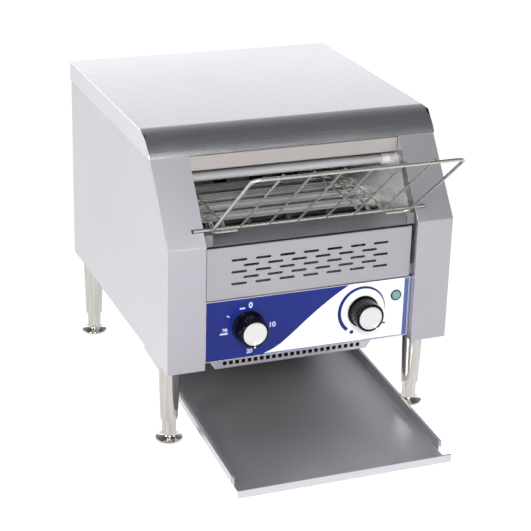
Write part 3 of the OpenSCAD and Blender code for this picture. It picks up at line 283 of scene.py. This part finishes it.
def spun(name, shade, centre):
    """Spun aluminium: fine rings around the knob's axis, drawn wider than they are so that they show."""
    ring_pitch = 0.6 * MM
    material = finish(name, shade, 0.3, size=1.5, tint=0.03, Metallic=1.0)
    tree = material.node_tree
    place = add(tree, "ShaderNodeTexCoord").outputs["Object"]
    offset = add(tree, "ShaderNodeVectorMath", {0: place, 1: centre}, operation="SUBTRACT")
    wave = add(tree, "ShaderNodeTexWave", {"Vector": offset.outputs[0], "Scale": 0.5 / ring_pitch / math.pi},
               wave_type="RINGS", rings_direction="Y")
    bump = add(tree, "ShaderNodeBump", {
        "Height": wave.outputs["Fac"], "Strength": 0.6, "Distance": 0.03 * MM})
    tree.links.new(bump.outputs[0], tree.nodes["Principled BSDF"].inputs["Normal"])
    return material


# ---------- modelling ----------


def leave():
    """Goes back to object mode."""
    if bpy.context.mode != "OBJECT":
        bpy.ops.object.mode_set(mode="OBJECT")


def select_only(*objects):
    leave()
    bpy.ops.object.select_all(action="DESELECT")
    for obj in objects:
        obj.select_set(True)
    bpy.context.view_layer.objects.active = objects[0]


def edit(obj):
    select_only(obj)
    bpy.ops.object.mode_set(mode="EDIT")
    bpy.ops.mesh.select_all(action="SELECT")


def settle(obj):
    """Puts an object's place, turn and size into its mesh."""
    select_only(obj)
    bpy.ops.object.transform_apply(location=True, rotation=True, scale=True)
    return obj


def shape_with(obj, kind, **settings):
    """Adds one modifier and applies it."""
    select_only(obj)
    modifier = obj.modifiers.new(kind.title(), kind)
    for name, value in settings.items():
        setattr(modifier, name, value)
    bpy.ops.object.modifier_apply(modifier=modifier.name)
    return obj


def smooth(obj, angle=30):
    select_only(obj)
    bpy.ops.object.shade_smooth_by_angle(angle=math.radians(angle))
    return obj


def tidy(obj):
    """Merges doubles and turns all faces outward."""
    edit(obj)
    bpy.ops.mesh.remove_doubles(threshold=MERGE)
    bpy.ops.mesh.normals_make_consistent(inside=False)
    leave()
    return obj


def joined(name, parts):
    select_only(*parts)
    if len(parts) > 1:
        bpy.ops.object.join()
    whole = bpy.context.object
    whole.name = name
    whole.data.name = name
    return whole


def paint(obj, material):
    obj.data.materials.clear()
    obj.data.materials.append(FINISHES[material])
    return obj


def fit(obj, body, material, instead_of=()):
    """Hands a finished piece over: its finish, the body it rides on and the nodes it stands for."""
    if material:
        paint(obj, material)
    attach(obj, body)
    if instead_of:
        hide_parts(*instead_of)
    return obj


def turned(name, profile, at, aim="Z", sides=48, ring=False):
    """Lathe work: a ring is extruded and resized along a profile of (radius, height) in mm.

    aim is the axis that the heights run along; a ring's profile ends where it starts.
    """
    radius, height = profile[0]
    leave()
    bpy.ops.mesh.primitive_circle_add(vertices=sides, radius=radius * MM, location=(0, 0, height * MM),
                                      fill_type="NOTHING" if ring else "NGON")
    made = bpy.context.object
    made.name = name
    edit(made)
    for (r0, z0), (r1, z1) in zip(profile, profile[1:]):
        bpy.ops.mesh.extrude_region_move(TRANSFORM_OT_translate={"value": (0, 0, (z1 - z0) * MM)})
        if r1 != r0:
            share = r1 / r0
            bpy.ops.transform.resize(value=(share, share, 1), center_override=(0, 0, z1 * MM))
    leave()
    settle(made)
    turns = {"Z": (0, 0, 0), "-Y": (math.pi / 2, 0, 0), "Y": (-math.pi / 2, 0, 0)}
    made.rotation_euler = turns[aim]
    made.location = [v * MM for v in at]
    settle(made)
    return tidy(made)


def block(name, low, high, bevel=0.3):
    """A box between two corners in mm, its edges rounded."""
    low, high = Vector(low), Vector(high)
    bpy.ops.mesh.primitive_cube_add(size=1, location=(low + high) / 2 * MM)
    made = bpy.context.object
    made.name = name
    made.scale = (high - low) * MM
    settle(made)
    if bevel:
        shape_with(made, "BEVEL", width=bevel * MM, segments=2, limit_method="ANGLE")
    return made


def wires(name, paths, radius, sides=8, closed=False):
    """Round wires along paths of points in mm, as one mesh."""
    curve = bpy.data.curves.new(name, "CURVE")
    curve.dimensions = "3D"
    curve.bevel_depth = radius * MM
    curve.bevel_resolution = sides // 2 - 2
    curve.use_fill_caps = True
    for path in paths:
        line = curve.splines.new("POLY")
        line.points.add(len(path) - 1)
        for point, place in zip(line.points, path):
            point.co = (*(v * MM for v in place), 1)
        line.use_cyclic_u = closed
    obj = bpy.data.objects.new(name, curve)
    bpy.context.collection.objects.link(obj)
    select_only(obj)
    bpy.ops.object.convert(target="MESH")
    return smooth(bpy.context.object, 50)


def stand(flat, x, y, z):
    """Turns a flat piece to face the front, at a place in mm."""
    flat.rotation_euler = (math.pi / 2, 0, 0)
    flat.location = (x * MM, y * MM, z * MM)
    return settle(flat)


def printed(name, outlines, y, material):
    """Flat print 0.04 mm thick on the panel's film; outlines are lists of (x, z) in mm."""
    curve = bpy.data.curves.new(name, "CURVE")
    curve.dimensions = "2D"
    curve.fill_mode = "BOTH"
    curve.extrude = 0.02 * MM
    for outline in outlines:
        line = curve.splines.new("POLY")
        line.points.add(len(outline) - 1)
        for point, (x, z) in zip(line.points, outline):
            point.co = (x * MM, z * MM, 0, 1)
        line.use_cyclic_u = True
    obj = bpy.data.objects.new(name, curve)
    bpy.context.collection.objects.link(obj)
    select_only(obj)
    bpy.ops.object.convert(target="MESH")
    flat = stand(bpy.context.object, 0, y - 0.03, 0)
    return paint(tidy(flat), material)


def on_circle(x, y, radius, angle):
    """The point at an angle and a distance from (x, y)."""
    return x + radius * math.cos(angle), y + radius * math.sin(angle)


def rounded(points, radius, steps=5, closed=False):
    """A path with each corner replaced by an arc that starts radius before it."""
    points = [Vector(p) for p in points]
    count = len(points)
    path = []
    for i, corner in enumerate(points):
        if not closed and i in (0, count - 1):
            path.append(corner)
            continue
        before, after = points[i - 1], points[(i + 1) % count]
        cut = min(radius, (before - corner).length / 2, (after - corner).length / 2)
        start = corner + (before - corner).normalized() * cut
        end = corner + (after - corner).normalized() * cut
        for k in range(steps + 1):
            t = k / steps
            path.append(start * (1 - t) ** 2 + corner * 2 * t * (1 - t) + end * t**2)
    return path


def folded(node, narrow=2.5, short=0.0):
    """A copy of a sheet node with its folds and cut edges rounded.

    Beside a face of which the triangles are less than narrow mm across, an edge gets the small radius.
    Edges under short mm long, such as those of punched holes, stay sharp.
    """
    bend, rim = sizes().bend_radius, sizes().rim_radius
    fold = math.radians(25)
    made = bpy.data.objects.new(node + "_sheet", NODES[node].data.copy())
    bpy.context.collection.objects.link(made)
    edit(made)
    bpy.ops.mesh.remove_doubles(threshold=MERGE)
    bpy.ops.mesh.dissolve_limited(angle_limit=math.radians(0.5))
    bpy.ops.mesh.quads_convert_to_tris(quad_method="BEAUTY", ngon_method="BEAUTY")
    leave()
    work = bmesh.new()
    work.from_mesh(made.data)
    weights = work.edges.layers.float.new("bevel_weight_edge")
    for edge in work.edges:
        if len(edge.link_faces) != 2 or edge.calc_face_angle(0) < fold or edge.calc_length() < short * MM:
            continue
        across = [f.calc_area() / max(e.calc_length() for e in f.edges) for f in edge.link_faces]
        edge[weights] = 1.0 if min(across) > narrow * MM else rim / bend
    work.to_mesh(made.data)
    work.free()
    shape_with(made, "BEVEL", width=bend, segments=3, limit_method="WEIGHT", use_clamp_overlap=False,
               miter_outer="MITER_ARC")
    smooth(made, 12)
    shape_with(made, "WEIGHTED_NORMAL", mode="FACE_AREA", weight=60, keep_sharp=True)
    return fit(made, BODY_OF[node], SLOT_OF[node], instead_of=[node])


def refinish(obj, material, facing, share):
    """Gives the faces that look one way a second finish."""
    obj.data.materials.append(FINISHES[material])
    for face in obj.data.polygons:
        if face.normal.dot(Vector(facing)) > share:
            face.material_index = 1


def islands(node):
    """Lowest and highest corner in mm of each separate solid in a node, from front to back."""
    work = bmesh.new()
    work.from_mesh(NODES[node].data)
    bmesh.ops.remove_doubles(work, verts=work.verts, dist=MERGE)
    waiting = set(work.verts)
    found = []
    while waiting:
        edge_of = [waiting.pop()]
        points = []
        while edge_of:
            vertex = edge_of.pop()
            points.append(vertex.co / MM)
            near = {e.other_vert(vertex) for e in vertex.link_edges} & waiting
            waiting -= near
            edge_of += near
        found.append(tuple(Vector(pick(p[i] for p in points) for i in range(3)) for pick in (min, max)))
    work.free()
    return sorted(found, key=lambda box: (round(box[0].y, 2), round(box[0].z, 2), round(box[0].x, 2)))


def corners(node):
    """A node's lowest and highest corner in mm."""
    low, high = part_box(node)
    return low / MM, high / MM


def middle(node):
    """A node's centre in mm."""
    low, high = corners(node)
    return (low + high) / 2


# ---------- housing ----------


class TOASTER_OT_housing(Operator):
    """Rounds the folds of the cover, the sides, the back, the pan and the front sheets"""

    bl_idname = "toaster.housing"
    bl_label = "Housing"

    def execute(self, context):
        # The rolled edge is made of narrow faces, so its ends need the lower limit
        folded("top_cover", narrow=0.9)
        for node in ("side_panel_left", "side_panel_right", "hood_front", "feed_ledge"):
            folded(node)
        for node in ("control_panel", "heat_guard", "base_pan", "rear_panel"):
            folded(node, short=25)
        forward, down = (0, -1, 0), (0, 0, -1)
        for name, material, facing, share in (
                # The pillars take a darker copy of the sides' steel: painted shade
                ("side_panel_left", "shaded_pillar_steel", forward, 0.7),
                ("side_panel_right", "shaded_pillar_steel", forward, 0.7),
                # The ledge's lugs and the pan's underside take the darker steel: painted shade
                ("feed_ledge", "painted_shade_steel", forward, 0.7),
                ("base_pan", "painted_shade_steel", down, 0.9)):
            refinish(bpy.data.objects[name + "_sheet"], material, facing, share)
        return {"FINISHED"}


class TOASTER_OT_chamber(Operator):
    """Rounds the edges of the sheets inside the chamber and of the pieces behind the panels"""

    bl_idname = "toaster.chamber"
    bl_label = "Chamber"

    def execute(self, context):
        for node in ("inner_wall_left", "inner_wall_right", "upper_reflector", "lower_reflector"):
            folded(node)
        # The partition's front fold takes the darker steel: painted shade between the lower tubes
        refinish(folded("partition"), "painted_shade_steel", (0, -1, 0), 0.3)
        return {"FINISHED"}


class TOASTER_OT_tray(Operator):
    """Rounds the folds of the tray and of the slide that carries it"""

    bl_idname = "toaster.tray"
    bl_label = "Tray"

    def execute(self, context):
        # The tray's floor takes the darker steel: painted shade
        refinish(folded("toast_tray"), "shaded_floor_steel", (0, 0, 1), 0.9)
        folded("toast_slide")
        return {"FINISHED"}


# ---------- conveyor and heat ----------


class TOASTER_OT_belt(Operator):
    """Weaves the belt: cross wires hooked to their neighbours, with linked eyes at the edges"""

    bl_idname = "toaster.belt"
    bl_label = "Wire belt"

    def execute(self, context):
        s = sizes()
        low, high = corners("conveyor_belt")
        outer = (high.z - low.z) / 2
        # The wires' middle line lies this far inside the belt's outer faces
        radius = outer - 1.45
        front, rear, mid = low.y + outer, high.y - outer, (low.z + high.z) / 2
        span = rear - front
        arc = math.pi * radius
        whole = 2 * (span + arc)
        count = round(whole / (s.belt_pitch / MM))
        pitch = whole / count
        wire = s.belt_wire / 2 / MM
        hook = 2 * wire * 0.86
        eye = s.belt_eye / 2 / MM - wire

        def place(x, run, lift):
            """A point x across the belt, run mm along its loop and lift mm outside its middle."""
            run %= whole
            r = radius + lift
            if run < span:
                return (x, front + run, mid + r)
            if run < span + arc:
                a = (run - span) / radius
                return (x, rear + r * math.sin(a), mid + r * math.cos(a))
            if run < 2 * span + arc:
                return (x, rear - (run - span - arc), mid - r)
            a = (run - 2 * span - arc) / radius
            return (x, front - r * math.sin(a), mid - r * math.cos(a))

        edge = high.x - wire
        # Two hooks near each edge link a cross wire to its neighbour
        joints = (16 - edge, 30 - edge, edge - 30, edge - 16)
        paths = []
        for i in range(count):
            at = i * pitch
            back = [(-edge, eye * 0.2, -eye), (-edge, -pitch * 0.5, -eye),
                    (-edge, -pitch - 1.4, -eye * 0.8), (-edge, -pitch - eye * 0.7, 0),
                    (-edge, -pitch - 1.4, eye * 0.8), (-edge, -pitch * 0.5, eye), (-edge, 0.6, eye * 0.9),
                    (-edge, 1.8, 0.8), (-edge + 1.6, 0.6, 0), (-edge + 4, 0, 0)]
            line = list(back)
            for x in joints:
                line += [(x - 2.6, 0, 0), (x - 2.4, -2.4, hook * 0.6), (x - 2.0, -pitch + 1.2, hook),
                         (x - 1.0, -pitch - 1.9, hook * 0.8), (x, -pitch - hook, 0),
                         (x + 1.0, -pitch - 1.9, -hook * 0.8), (x + 2.0, -pitch + 1.2, -hook),
                         (x + 2.4, -2.4, -hook * 0.6), (x + 2.6, 0, 0)]
            line += [(-x, run, lift) for x, run, lift in reversed(back)]
            paths.append([place(x, at + run, lift) for x, run, lift in line])
        belt = wires("woven_belt", paths, wire, sides=8)
        fit(belt, "housing", "belt_wire", instead_of=["conveyor_belt"])
        return {"FINISHED"}


class TOASTER_OT_heaters(Operator):
    """Winds a resistance coil into each quartz tube"""

    bl_idname = "toaster.heaters"
    bl_label = "Heating coils"

    def execute(self, context):
        s = sizes()
        pitch = s.coil_pitch / MM
        wire = s.coil_wire / 2 / MM
        radius = s.coil_radius / MM - wire
        steps = 8
        paths = []
        for low, high in islands("heating_coils"):
            _, y, z = (low + high) / 2
            turns = int((high.x - low.x) / pitch)
            path = []
            for k in range(turns * steps + 1):
                path.append((low.x + k * pitch / steps, *on_circle(y, z, radius, math.tau * k / steps)))
            paths.append(path)
        coils = wires("resistance_coils", paths, wire, sides=4)
        fit(coils, "housing", "coil_wire", instead_of=["heating_coils"])
        return {"FINISHED"}


class TOASTER_OT_rack(Operator):
    """Bends the rack's frame, lays its thin wires across and seats it on its rod"""

    bl_idname = "toaster.rack"
    bl_label = "Loading rack"

    def execute(self, context):
        s = sizes()
        low, high = corners("loading_rack")
        _, pivot_y, pivot_z = (v / MM for v in JOINTS["rack_fold"]["pos_m"])
        wire, rung = s.rack_wire / 2 / MM, s.rack_rung / 2 / MM
        reach = s.rack_length / MM
        # The welds sink the wires a little into each other
        drop = 2 * wire - 0.2
        lift = -drop + wire + rung - 0.3
        angle = math.radians(s.rack_angle)
        half = corners("side_panel_right")[0].x - s.rack_gap / MM
        toe = s.rack_toe / MM

        def place(x, along, lift):
            return (x, pivot_y - along * math.cos(angle) + lift * math.sin(angle),
                    pivot_z + along * math.sin(angle) + lift * math.cos(angle))

        outline = [(-half + toe, 0), (-half, 0), (-half, reach), (half, reach), (half, 0), (half - toe, 0)]
        bent = rounded([place(x, along, -drop) for x, along in outline], radius=9, steps=7)
        frame = wires("rack_frame", [bent], wire, sides=14)
        rod = wires("rack_rod", [[(low.x, pivot_y, pivot_z), (high.x, pivot_y, pivot_z)]], wire, sides=14)
        pitch = 2 * half / (s.rack_rungs + 1)
        across = [(i - (s.rack_rungs - 1) / 2) * pitch for i in range(s.rack_rungs)]
        lines = [[place(x, -1.5, lift), place(x, reach - 0.2, lift)] for x in across]
        rungs = wires("rack_rungs", lines, rung, sides=12)
        whole = joined("wire_rack", [frame, rod, rungs])
        fit(whole, "loading_rack", "rack_wire", instead_of=["loading_rack"])
        return {"FINISHED"}


# ---------- controls ----------


def flute(obj, centre, near, far, every=4, share=0.972):
    """Presses every few lines of a knob's grip inward, between two heights above the panel in mm."""
    edit(obj)
    bpy.ops.mesh.select_all(action="DESELECT")
    work = bmesh.from_edit_mesh(obj.data)
    step = math.tau / KNOB_SIDES
    for vertex in work.verts:
        x, y, z = vertex.co / MM - Vector(centre)
        line = round(math.atan2(z, x) / step)
        vertex.select_set(near < -y < far and line % every == 0)
    bmesh.update_edit_mesh(obj.data)
    bpy.ops.transform.resize(value=(share, 1, share), center_override=[v * MM for v in centre])
    leave()


class TOASTER_OT_knobs(Operator):
    """Turns both knobs with their skirts, metal caps and pointers"""

    bl_idname = "toaster.knobs"
    bl_label = "Knobs"

    def execute(self, context):
        for which, clock in (("selector", -90), ("speed", -60)):
            low, high = corners(which + "_knob")
            cap_low, cap_high = corners(which + "_cap")
            x, _, z = middle(which + "_knob")
            centre = (x, high.y, z)
            skirt = (high.x - low.x) / 2
            reach = high.y - low.y
            cap = (cap_high.x - cap_low.x) / 2
            front = high.y - cap_low.y
            body = turned(which + "_grip", [
                (skirt - 0.6, 0), (skirt, 0.5), (skirt, 1.6), (skirt - 0.5, 2.4), (skirt - 1.3, 2.8),
                (skirt - 2.0, 3.0), (skirt - 2.4, 3.6), (skirt - 2.6, 5.0), (cap + 2.3, reach / 2 + 1.4),
                (cap + 1.95, reach - 2.4), (cap + 1.9, reach - 1.0), (cap + 1.6, reach - 0.2),
                (cap + 1.0, reach + 0.3), (cap, reach + 0.45), (cap - 0.9, reach + 0.45),
                (cap - 1.2, reach + 0.2), (cap - 1.2, reach)], centre, "-Y", KNOB_SIDES)
            flute(body, centre, near=4.2, far=reach - 1.6)
            smooth(body, 30)
            fit(body, which, "knob_plastic", instead_of=[which + "_knob"])
            spun(which + "_cap_metal", colours().cap, [v * MM for v in centre])
            lid = turned(which + "_lid", [
                (cap - 0.1, reach - 0.8), (cap, reach - 0.6), (cap, reach - 0.1), (cap - 1.3, reach - 0.05),
                (cap - 1.3, front - 0.1), (cap - 1.5, front), (cap - 3.4, front), (cap - 3.6, front - 0.12),
                (3, front - 0.12)], centre, "-Y", KNOB_SIDES)
            smooth(lid, 30)
            fit(lid, which, which + "_cap_metal", instead_of=[which + "_cap"])
            nib = block(which + "_pointer", (cap - 5.5, -1.1, front - 0.6),
                        (cap + 2.2, 1.1, front + 0.02), bevel=0.2)
            nib.matrix_world = (Matrix.Translation(Vector(centre) * MM) @ Matrix.Rotation(math.pi / 2, 4, "X")
                                @ Matrix.Rotation(math.radians(clock), 4, "Z"))
            settle(nib)
            fit(nib, which, "pointer_white")
        return {"FINISHED"}


class TOASTER_OT_panel_print(Operator):
    """Prints the panel's film: its blue field, lines, plain numbers and the speed arc"""

    bl_idname = "toaster.panel_print"
    bl_label = "Panel print"

    def execute(self, context):
        low, high = corners("control_overlay")
        y = low.y
        margin = 0.3
        left, right, floor, top = low.x + margin, high.x - margin, low.z + margin, high.z - margin
        # The blue field's slanting edge, from the film's top down to the left
        edge = [(51.6, top), (40, 187.4), (28, 179.6), (10.3, 166.7), (-4, 155.3), (-15, 145.8), (-26, 136.9),
                (-36.3, 128.9), (-46, 123.4), (-58, 118.9)]
        foot = (edge[-1][0], floor)
        blue = printed("field", [[(left, floor), (left, top), *edge, foot]], y, "film_blue")
        inside = right - 6
        frame = [foot, edge[-1], (inside, 118.1), (inside, top), (right, top), (right, floor)]
        line = printed("line", [frame], y, "film_pale")
        # The speed knob's arc thins out clockwise, from a dot at its start to a tick at its end
        cx, _, cz = middle("speed_knob") + Vector((-1.1, 0, 1.1))
        ring, steps = 30.3, 56
        sides = []
        for k in range(steps + 1):
            half = 2.15 * (1 - (k / steps) ** 2.6) + 0.1
            sides.append((ring - half, ring + half, math.radians(231 - 236 * k / steps)))
        arc = [on_circle(cx, cz, outer, a) for _, outer, a in sides]
        arc += [on_circle(cx, cz, inner, a) for inner, _, a in reversed(sides)]
        start = on_circle(cx, cz, ring, math.radians(245))
        dot = [on_circle(*start, 2.6, t * math.pi / 12) for t in range(24)]
        tick = [(cx + dx, cz + dz) for dx, dz in ((26.5, -20.8), (32.5, -22.0), (32.5, -20.6), (29.5, -19.6))]
        scale = printed("arc", [arc, dot, tick], y, "film_blue")
        fit(joined("panel_blue", [blue, line, scale]), "housing", None)
        cx, _, cz = middle("selector_knob")
        marks = []
        for text, dx, dz, size in (
                ("0", 2.4, 27.4, 10), ("10", 30.5, -1.5, 9), ("20", 2, -32.5, 7.5), ("30", -30, -1.2, 6)):
            bpy.ops.object.text_add(location=(0, 0, 0))
            label = bpy.context.object
            label.data.body = text
            label.data.size = size * MM
            label.data.offset = 0.35 * MM
            label.data.align_x = "CENTER"
            label.data.align_y = "CENTER"
            label.data.extrude = 0.02 * MM
            select_only(label)
            bpy.ops.object.convert(target="MESH")
            label = stand(bpy.context.object, cx + dx, y - 0.08, cz + dz)
            marks.append(paint(tidy(label), "film_marks"))
        for dx, dz, wide, tall, turn in (
                (-8, 24.6, 7, 2.2, 0), (-26, 16.5, 4, 1.4, 145), (-31, -5.6, 10, 2.3, 0)):
            spin = Matrix.Rotation(math.radians(turn), 2)
            outline = []
            for sx, sz in ((-1, -1), (1, -1), (1, 1), (-1, 1)):
                px, pz = spin @ Vector((sx * wide / 2, sz * tall / 2))
                outline.append((cx + dx + px, cz + dz + pz))
            marks.append(printed("dash", [outline], y - 0.05, "film_marks"))
        fit(joined("panel_marks", marks), "housing", None)
        return {"FINISHED"}


class TOASTER_OT_lamp(Operator):
    """Turns the indicator lamp's bezel and domed lens"""

    bl_idname = "toaster.lamp"
    bl_label = "Lamp"

    def execute(self, context):
        low, high = corners("lamp_bezel")
        x, _, z = middle("lamp_bezel")
        # The bezel stands this far out of the panel
        seat = low.y + 2.4
        r = (high.x - low.x) / 2
        bezel = turned("lamp_ring", [
            (r - 0.2, 0), (r, 0.3), (r, 1.5), (r - 0.35, 2.1), (r - 0.8, 2.4), (r - 1.1, 2.2), (r - 1.2, 0.9),
            (r - 2.6, 0.8), (r - 2.6, -15), (r - 1.6, -15), (r - 1.6, 0), (r - 0.2, 0)],
            (x, seat, z), "-Y", ring=True)
        smooth(bezel, 40)
        fit(bezel, "housing", "bezel_plastic", instead_of=["lamp_bezel"])
        inner = r - 2.7
        dome = r - 1.3
        lens = turned("lamp_dome", [
            (inner, -18), (inner, 0.9), (dome, 0.95), (dome, 1.6), (dome * 0.93, 2.2), (dome * 0.82, 2.6),
            (dome * 0.62, 3.0), (dome * 0.38, 3.3), (dome * 0.1, 3.4)], (x, seat, z), "-Y")
        smooth(lens, 50)
        fit(lens, "housing", "lens_plastic", instead_of=["lamp_lens"])
        return {"FINISHED"}


# ---------- legs and screws ----------


class TOASTER_OT_legs(Operator):
    """Turns the legs and their screw feet"""

    bl_idname = "toaster.legs"
    bl_label = "Legs and feet"

    def execute(self, context):
        legs = []
        leg_low, leg_high = corners("legs")
        for foot in ("foot_front_left", "foot_front_right", "foot_rear_left", "foot_rear_right"):
            low, high = corners(foot)
            x, y, _ = middle(foot)
            base, top = leg_low.z, leg_high.z
            legs.append(turned("leg", [
                (10.2, 0), (10.8, 0.25), (11.0, 0.8), (11.2, 8), (13.5, top - base - 0.8),
                (13.5, top - base - 0.3), (13.1, top - base)], (x, y, base)))
            pad = (high.x - low.x) / 2
            neck = 8.75
            piece = turned(foot + "_turned", [
                (pad - 1.2, 0), (pad - 0.4, 0.3), (pad, 1.0), (pad, 2.2), (pad - 0.4, 3.0), (pad - 1.4, 3.4),
                (neck + 2.2, 5.2), (neck + 0.9, 6.2), (neck, 8.0), (neck, base - 1.0),
                (neck - 0.5, base - 0.3), (6, base - 0.3), (6, high.z - 1), (5.2, high.z)], (x, y, 0))
            smooth(piece, 35)
            fit(piece, foot, "leg_chrome", instead_of=[foot])
        whole = joined("turned_legs", legs)
        smooth(whole, 35)
        fit(whole, "housing", "leg_chrome", instead_of=["legs"])
        return {"FINISHED"}


class TOASTER_OT_screws(Operator):
    """Turns the back's pan-head screws and cuts their cross recesses"""

    bl_idname = "toaster.screws"
    bl_label = "Rear screws"

    def execute(self, context):
        rear = corners("rear_screws")[1].y
        tall = rear - corners("rear_panel")[1].y - 0.05
        slot = 0.8
        heads = []
        for low, high in islands("rear_screws"):
            x, _, z = (low + high) / 2
            r = (high.x - low.x) / 2
            head = turned("screw", [
                (1.4, -6), (1.4, -0.2), (r, 0), (r, tall * 0.4), (r - 0.5, tall * 0.75),
                (r - 1.4, tall * 0.97), (0.4, tall)], (x, rear - tall, z), "Y", 32)
            for dx, dz in ((r * 0.55, slot / 2), (slot / 2, r * 0.55)):
                cutter = block("cutter", (x - dx, rear - tall * 0.7, z - dz), (x + dx, rear + 1, z + dz),
                               bevel=0)
                shape_with(head, "BOOLEAN", object=cutter, operation="DIFFERENCE", solver="EXACT")
                bpy.data.objects.remove(cutter)
            heads.append(smooth(head, 35))
        fit(joined("rear_screw_heads", heads), "housing", "screw_steel", instead_of=["rear_screws"])
        return {"FINISHED"}


# ---------- stage ----------

# The studio's brightness falls with height, from white walls to a dark ceiling that shades the cover's bend
ROOM_STRENGTH = 2.15
ROOM_LEVELS = (
    (0.03, 1.0), (0.06, 0.66), (0.10, 0.21), (0.16, 0.165), (0.30, 0.15), (0.42, 0.13), (0.55, 0.10),
    (0.66, 0.075), (0.80, 0.052))
CEILING = (0.90, (0.052, 0.050, 0.055, 1))
# Each lamp's place in metres, its size in metres, its power in watts and whether it shows in reflections
LAMPS = (
    ("key", (-0.40, -1.92, 1.28), 0.8, 30, True),
    ("side", (1.50, -1.50, 0.60), 0.5, 7, False),
    ("fill", (-1.9, -1.0, 1.1), 0.6, 17, True))


class TOASTER_OT_stage(Operator):
    """Sets out the pale floor, the soft studio light and the camera"""

    bl_idname = "toaster.stage"
    bl_label = "Stage"

    def execute(self, context):
        scene = context.scene
        bpy.ops.mesh.primitive_plane_add(size=14, location=(0, 0, 0))
        floor = context.object
        floor.name = "studio_floor"
        material = bpy.data.materials.new("floor_paper")
        material.use_nodes = True
        tree = material.node_tree
        tree.nodes.clear()
        # The floor glows in view and in reflections, and is plain paper to all other rays
        rays = add(tree, "ShaderNodeLightPath")
        seen = rays.outputs["Is Camera Ray"]
        for kind in ("Is Glossy Ray", "Is Transmission Ray"):
            either = add(tree, "ShaderNodeMath", {0: seen, 1: rays.outputs[kind]}, operation="MAXIMUM")
            seen = either.outputs[0]
        paper = add(tree, "ShaderNodeBsdfDiffuse", {"Color": (0.9, 0.9, 0.9, 1)})
        white = add(tree, "ShaderNodeMath", {0: rays.outputs["Is Camera Ray"], 1: 0.30, 2: 1.2},
                    operation="MULTIPLY_ADD")
        glow = add(tree, "ShaderNodeEmission", {"Color": (1, 1, 1, 1), "Strength": white.outputs[0]})
        share = add(tree, "ShaderNodeMath", {0: seen, 1: 0.62}, operation="MULTIPLY")
        mix = add(tree, "ShaderNodeMixShader", {0: share.outputs[0], 1: paper.outputs[0], 2: glow.outputs[0]})
        add(tree, "ShaderNodeOutputMaterial", {"Surface": mix.outputs[0]})
        floor.data.materials.append(material)

        world = bpy.data.worlds.new("studio")
        scene.world = world
        world.use_nodes = True
        tree = world.node_tree
        tree.nodes.clear()
        place = add(tree, "ShaderNodeTexCoord").outputs["Generated"]
        height = add(tree, "ShaderNodeVectorMath", {0: place, 1: (0, -0.2, 0.97)}, operation="DOT_PRODUCT")
        ramp = add(tree, "ShaderNodeValToRGB", {"Fac": height.outputs["Value"]})
        stops = ramp.color_ramp.elements
        stops[0].position, stops[0].color = 0.0, (1, 1, 1, 1)
        stops[1].position, stops[1].color = CEILING
        for position, level in ROOM_LEVELS:
            stops.new(position).color = (level, level * 0.98, level * 1.02, 1)
        rays = add(tree, "ShaderNodeLightPath")
        camera_ray = rays.outputs["Is Camera Ray"]
        room = add(tree, "ShaderNodeBackground", {"Color": ramp.outputs[0], "Strength": ROOM_STRENGTH})
        white = add(tree, "ShaderNodeBackground", {"Color": (1, 1, 1, 1), "Strength": 1.0})
        mix = add(tree, "ShaderNodeMixShader", {0: camera_ray, 1: room.outputs[0], 2: white.outputs[0]})
        add(tree, "ShaderNodeOutputWorld", {"Surface": mix.outputs[0]})

        for name, where, size, power, reflected in LAMPS:
            bpy.ops.object.light_add(type="AREA", location=where)
            lamp = context.object
            lamp.name = name
            lamp.data.size = size
            lamp.data.energy = power
            lamp.visible_glossy = reflected
            aim = Vector((0, 0, 0.2)) - lamp.location
            lamp.rotation_euler = aim.to_track_quat("-Z", "Y").to_euler()
        bpy.ops.object.camera_add()
        camera = context.object
        camera.name = "camera"
        camera.data.sensor_width = 36
        camera.data.lens = 110.03
        camera.data.clip_end = 50
        # The camera's axes and its place in metres
        right = Vector((0.931466, -0.362902, 0.026105))
        up = Vector((0.114741, 0.361086, 0.925452))
        forward = Vector((0.34527, 0.85902, -0.37798))
        turn = Matrix((right, up, -forward)).transposed().to_4x4()
        camera.matrix_world = Matrix.Translation((-0.71995, -1.79167, 0.95728)) @ turn
        scene.camera = camera
        scene.view_settings.view_transform = "Standard"
        return {"FINISHED"}


# ---------- add-on ----------

STEPS = (
    TOASTER_OT_finishes,
    TOASTER_OT_housing,
    TOASTER_OT_chamber,
    TOASTER_OT_tray,
    TOASTER_OT_belt,
    TOASTER_OT_heaters,
    TOASTER_OT_rack,
    TOASTER_OT_knobs,
    TOASTER_OT_panel_print,
    TOASTER_OT_lamp,
    TOASTER_OT_legs,
    TOASTER_OT_screws,
    TOASTER_OT_stage,
)


class TOASTER_PT_sidebar(Panel):
    """Lists the toaster's pieces"""

    bl_label = "Conveyor toaster"
    bl_idname = "TOASTER_PT_sidebar"
    bl_space_type = "VIEW_3D"
    bl_region_type = "UI"
    bl_category = "Toaster"

    def draw(self, context):
        for group in (context.scene.toaster_sizes, context.scene.toaster_colours):
            box = self.layout.box()
            for name in group.__annotations__:
                box.prop(group, name)
        for step in STEPS:
            self.layout.operator(step.bl_idname)


CLASSES = (ToasterSizes, ToasterColours, *STEPS, TOASTER_PT_sidebar)


def register():
    for cls in CLASSES:
        bpy.utils.register_class(cls)
    bpy.types.Scene.toaster_sizes = PointerProperty(type=ToasterSizes)
    bpy.types.Scene.toaster_colours = PointerProperty(type=ToasterColours)


def unregister():
    del bpy.types.Scene.toaster_colours
    del bpy.types.Scene.toaster_sizes
    for cls in reversed(CLASSES):
        bpy.utils.unregister_class(cls)


def main():
    register()
    for step in STEPS:
        group, name = step.bl_idname.split(".")
        getattr(getattr(bpy.ops, group), name)()


if __name__ == "__main__":
    main()
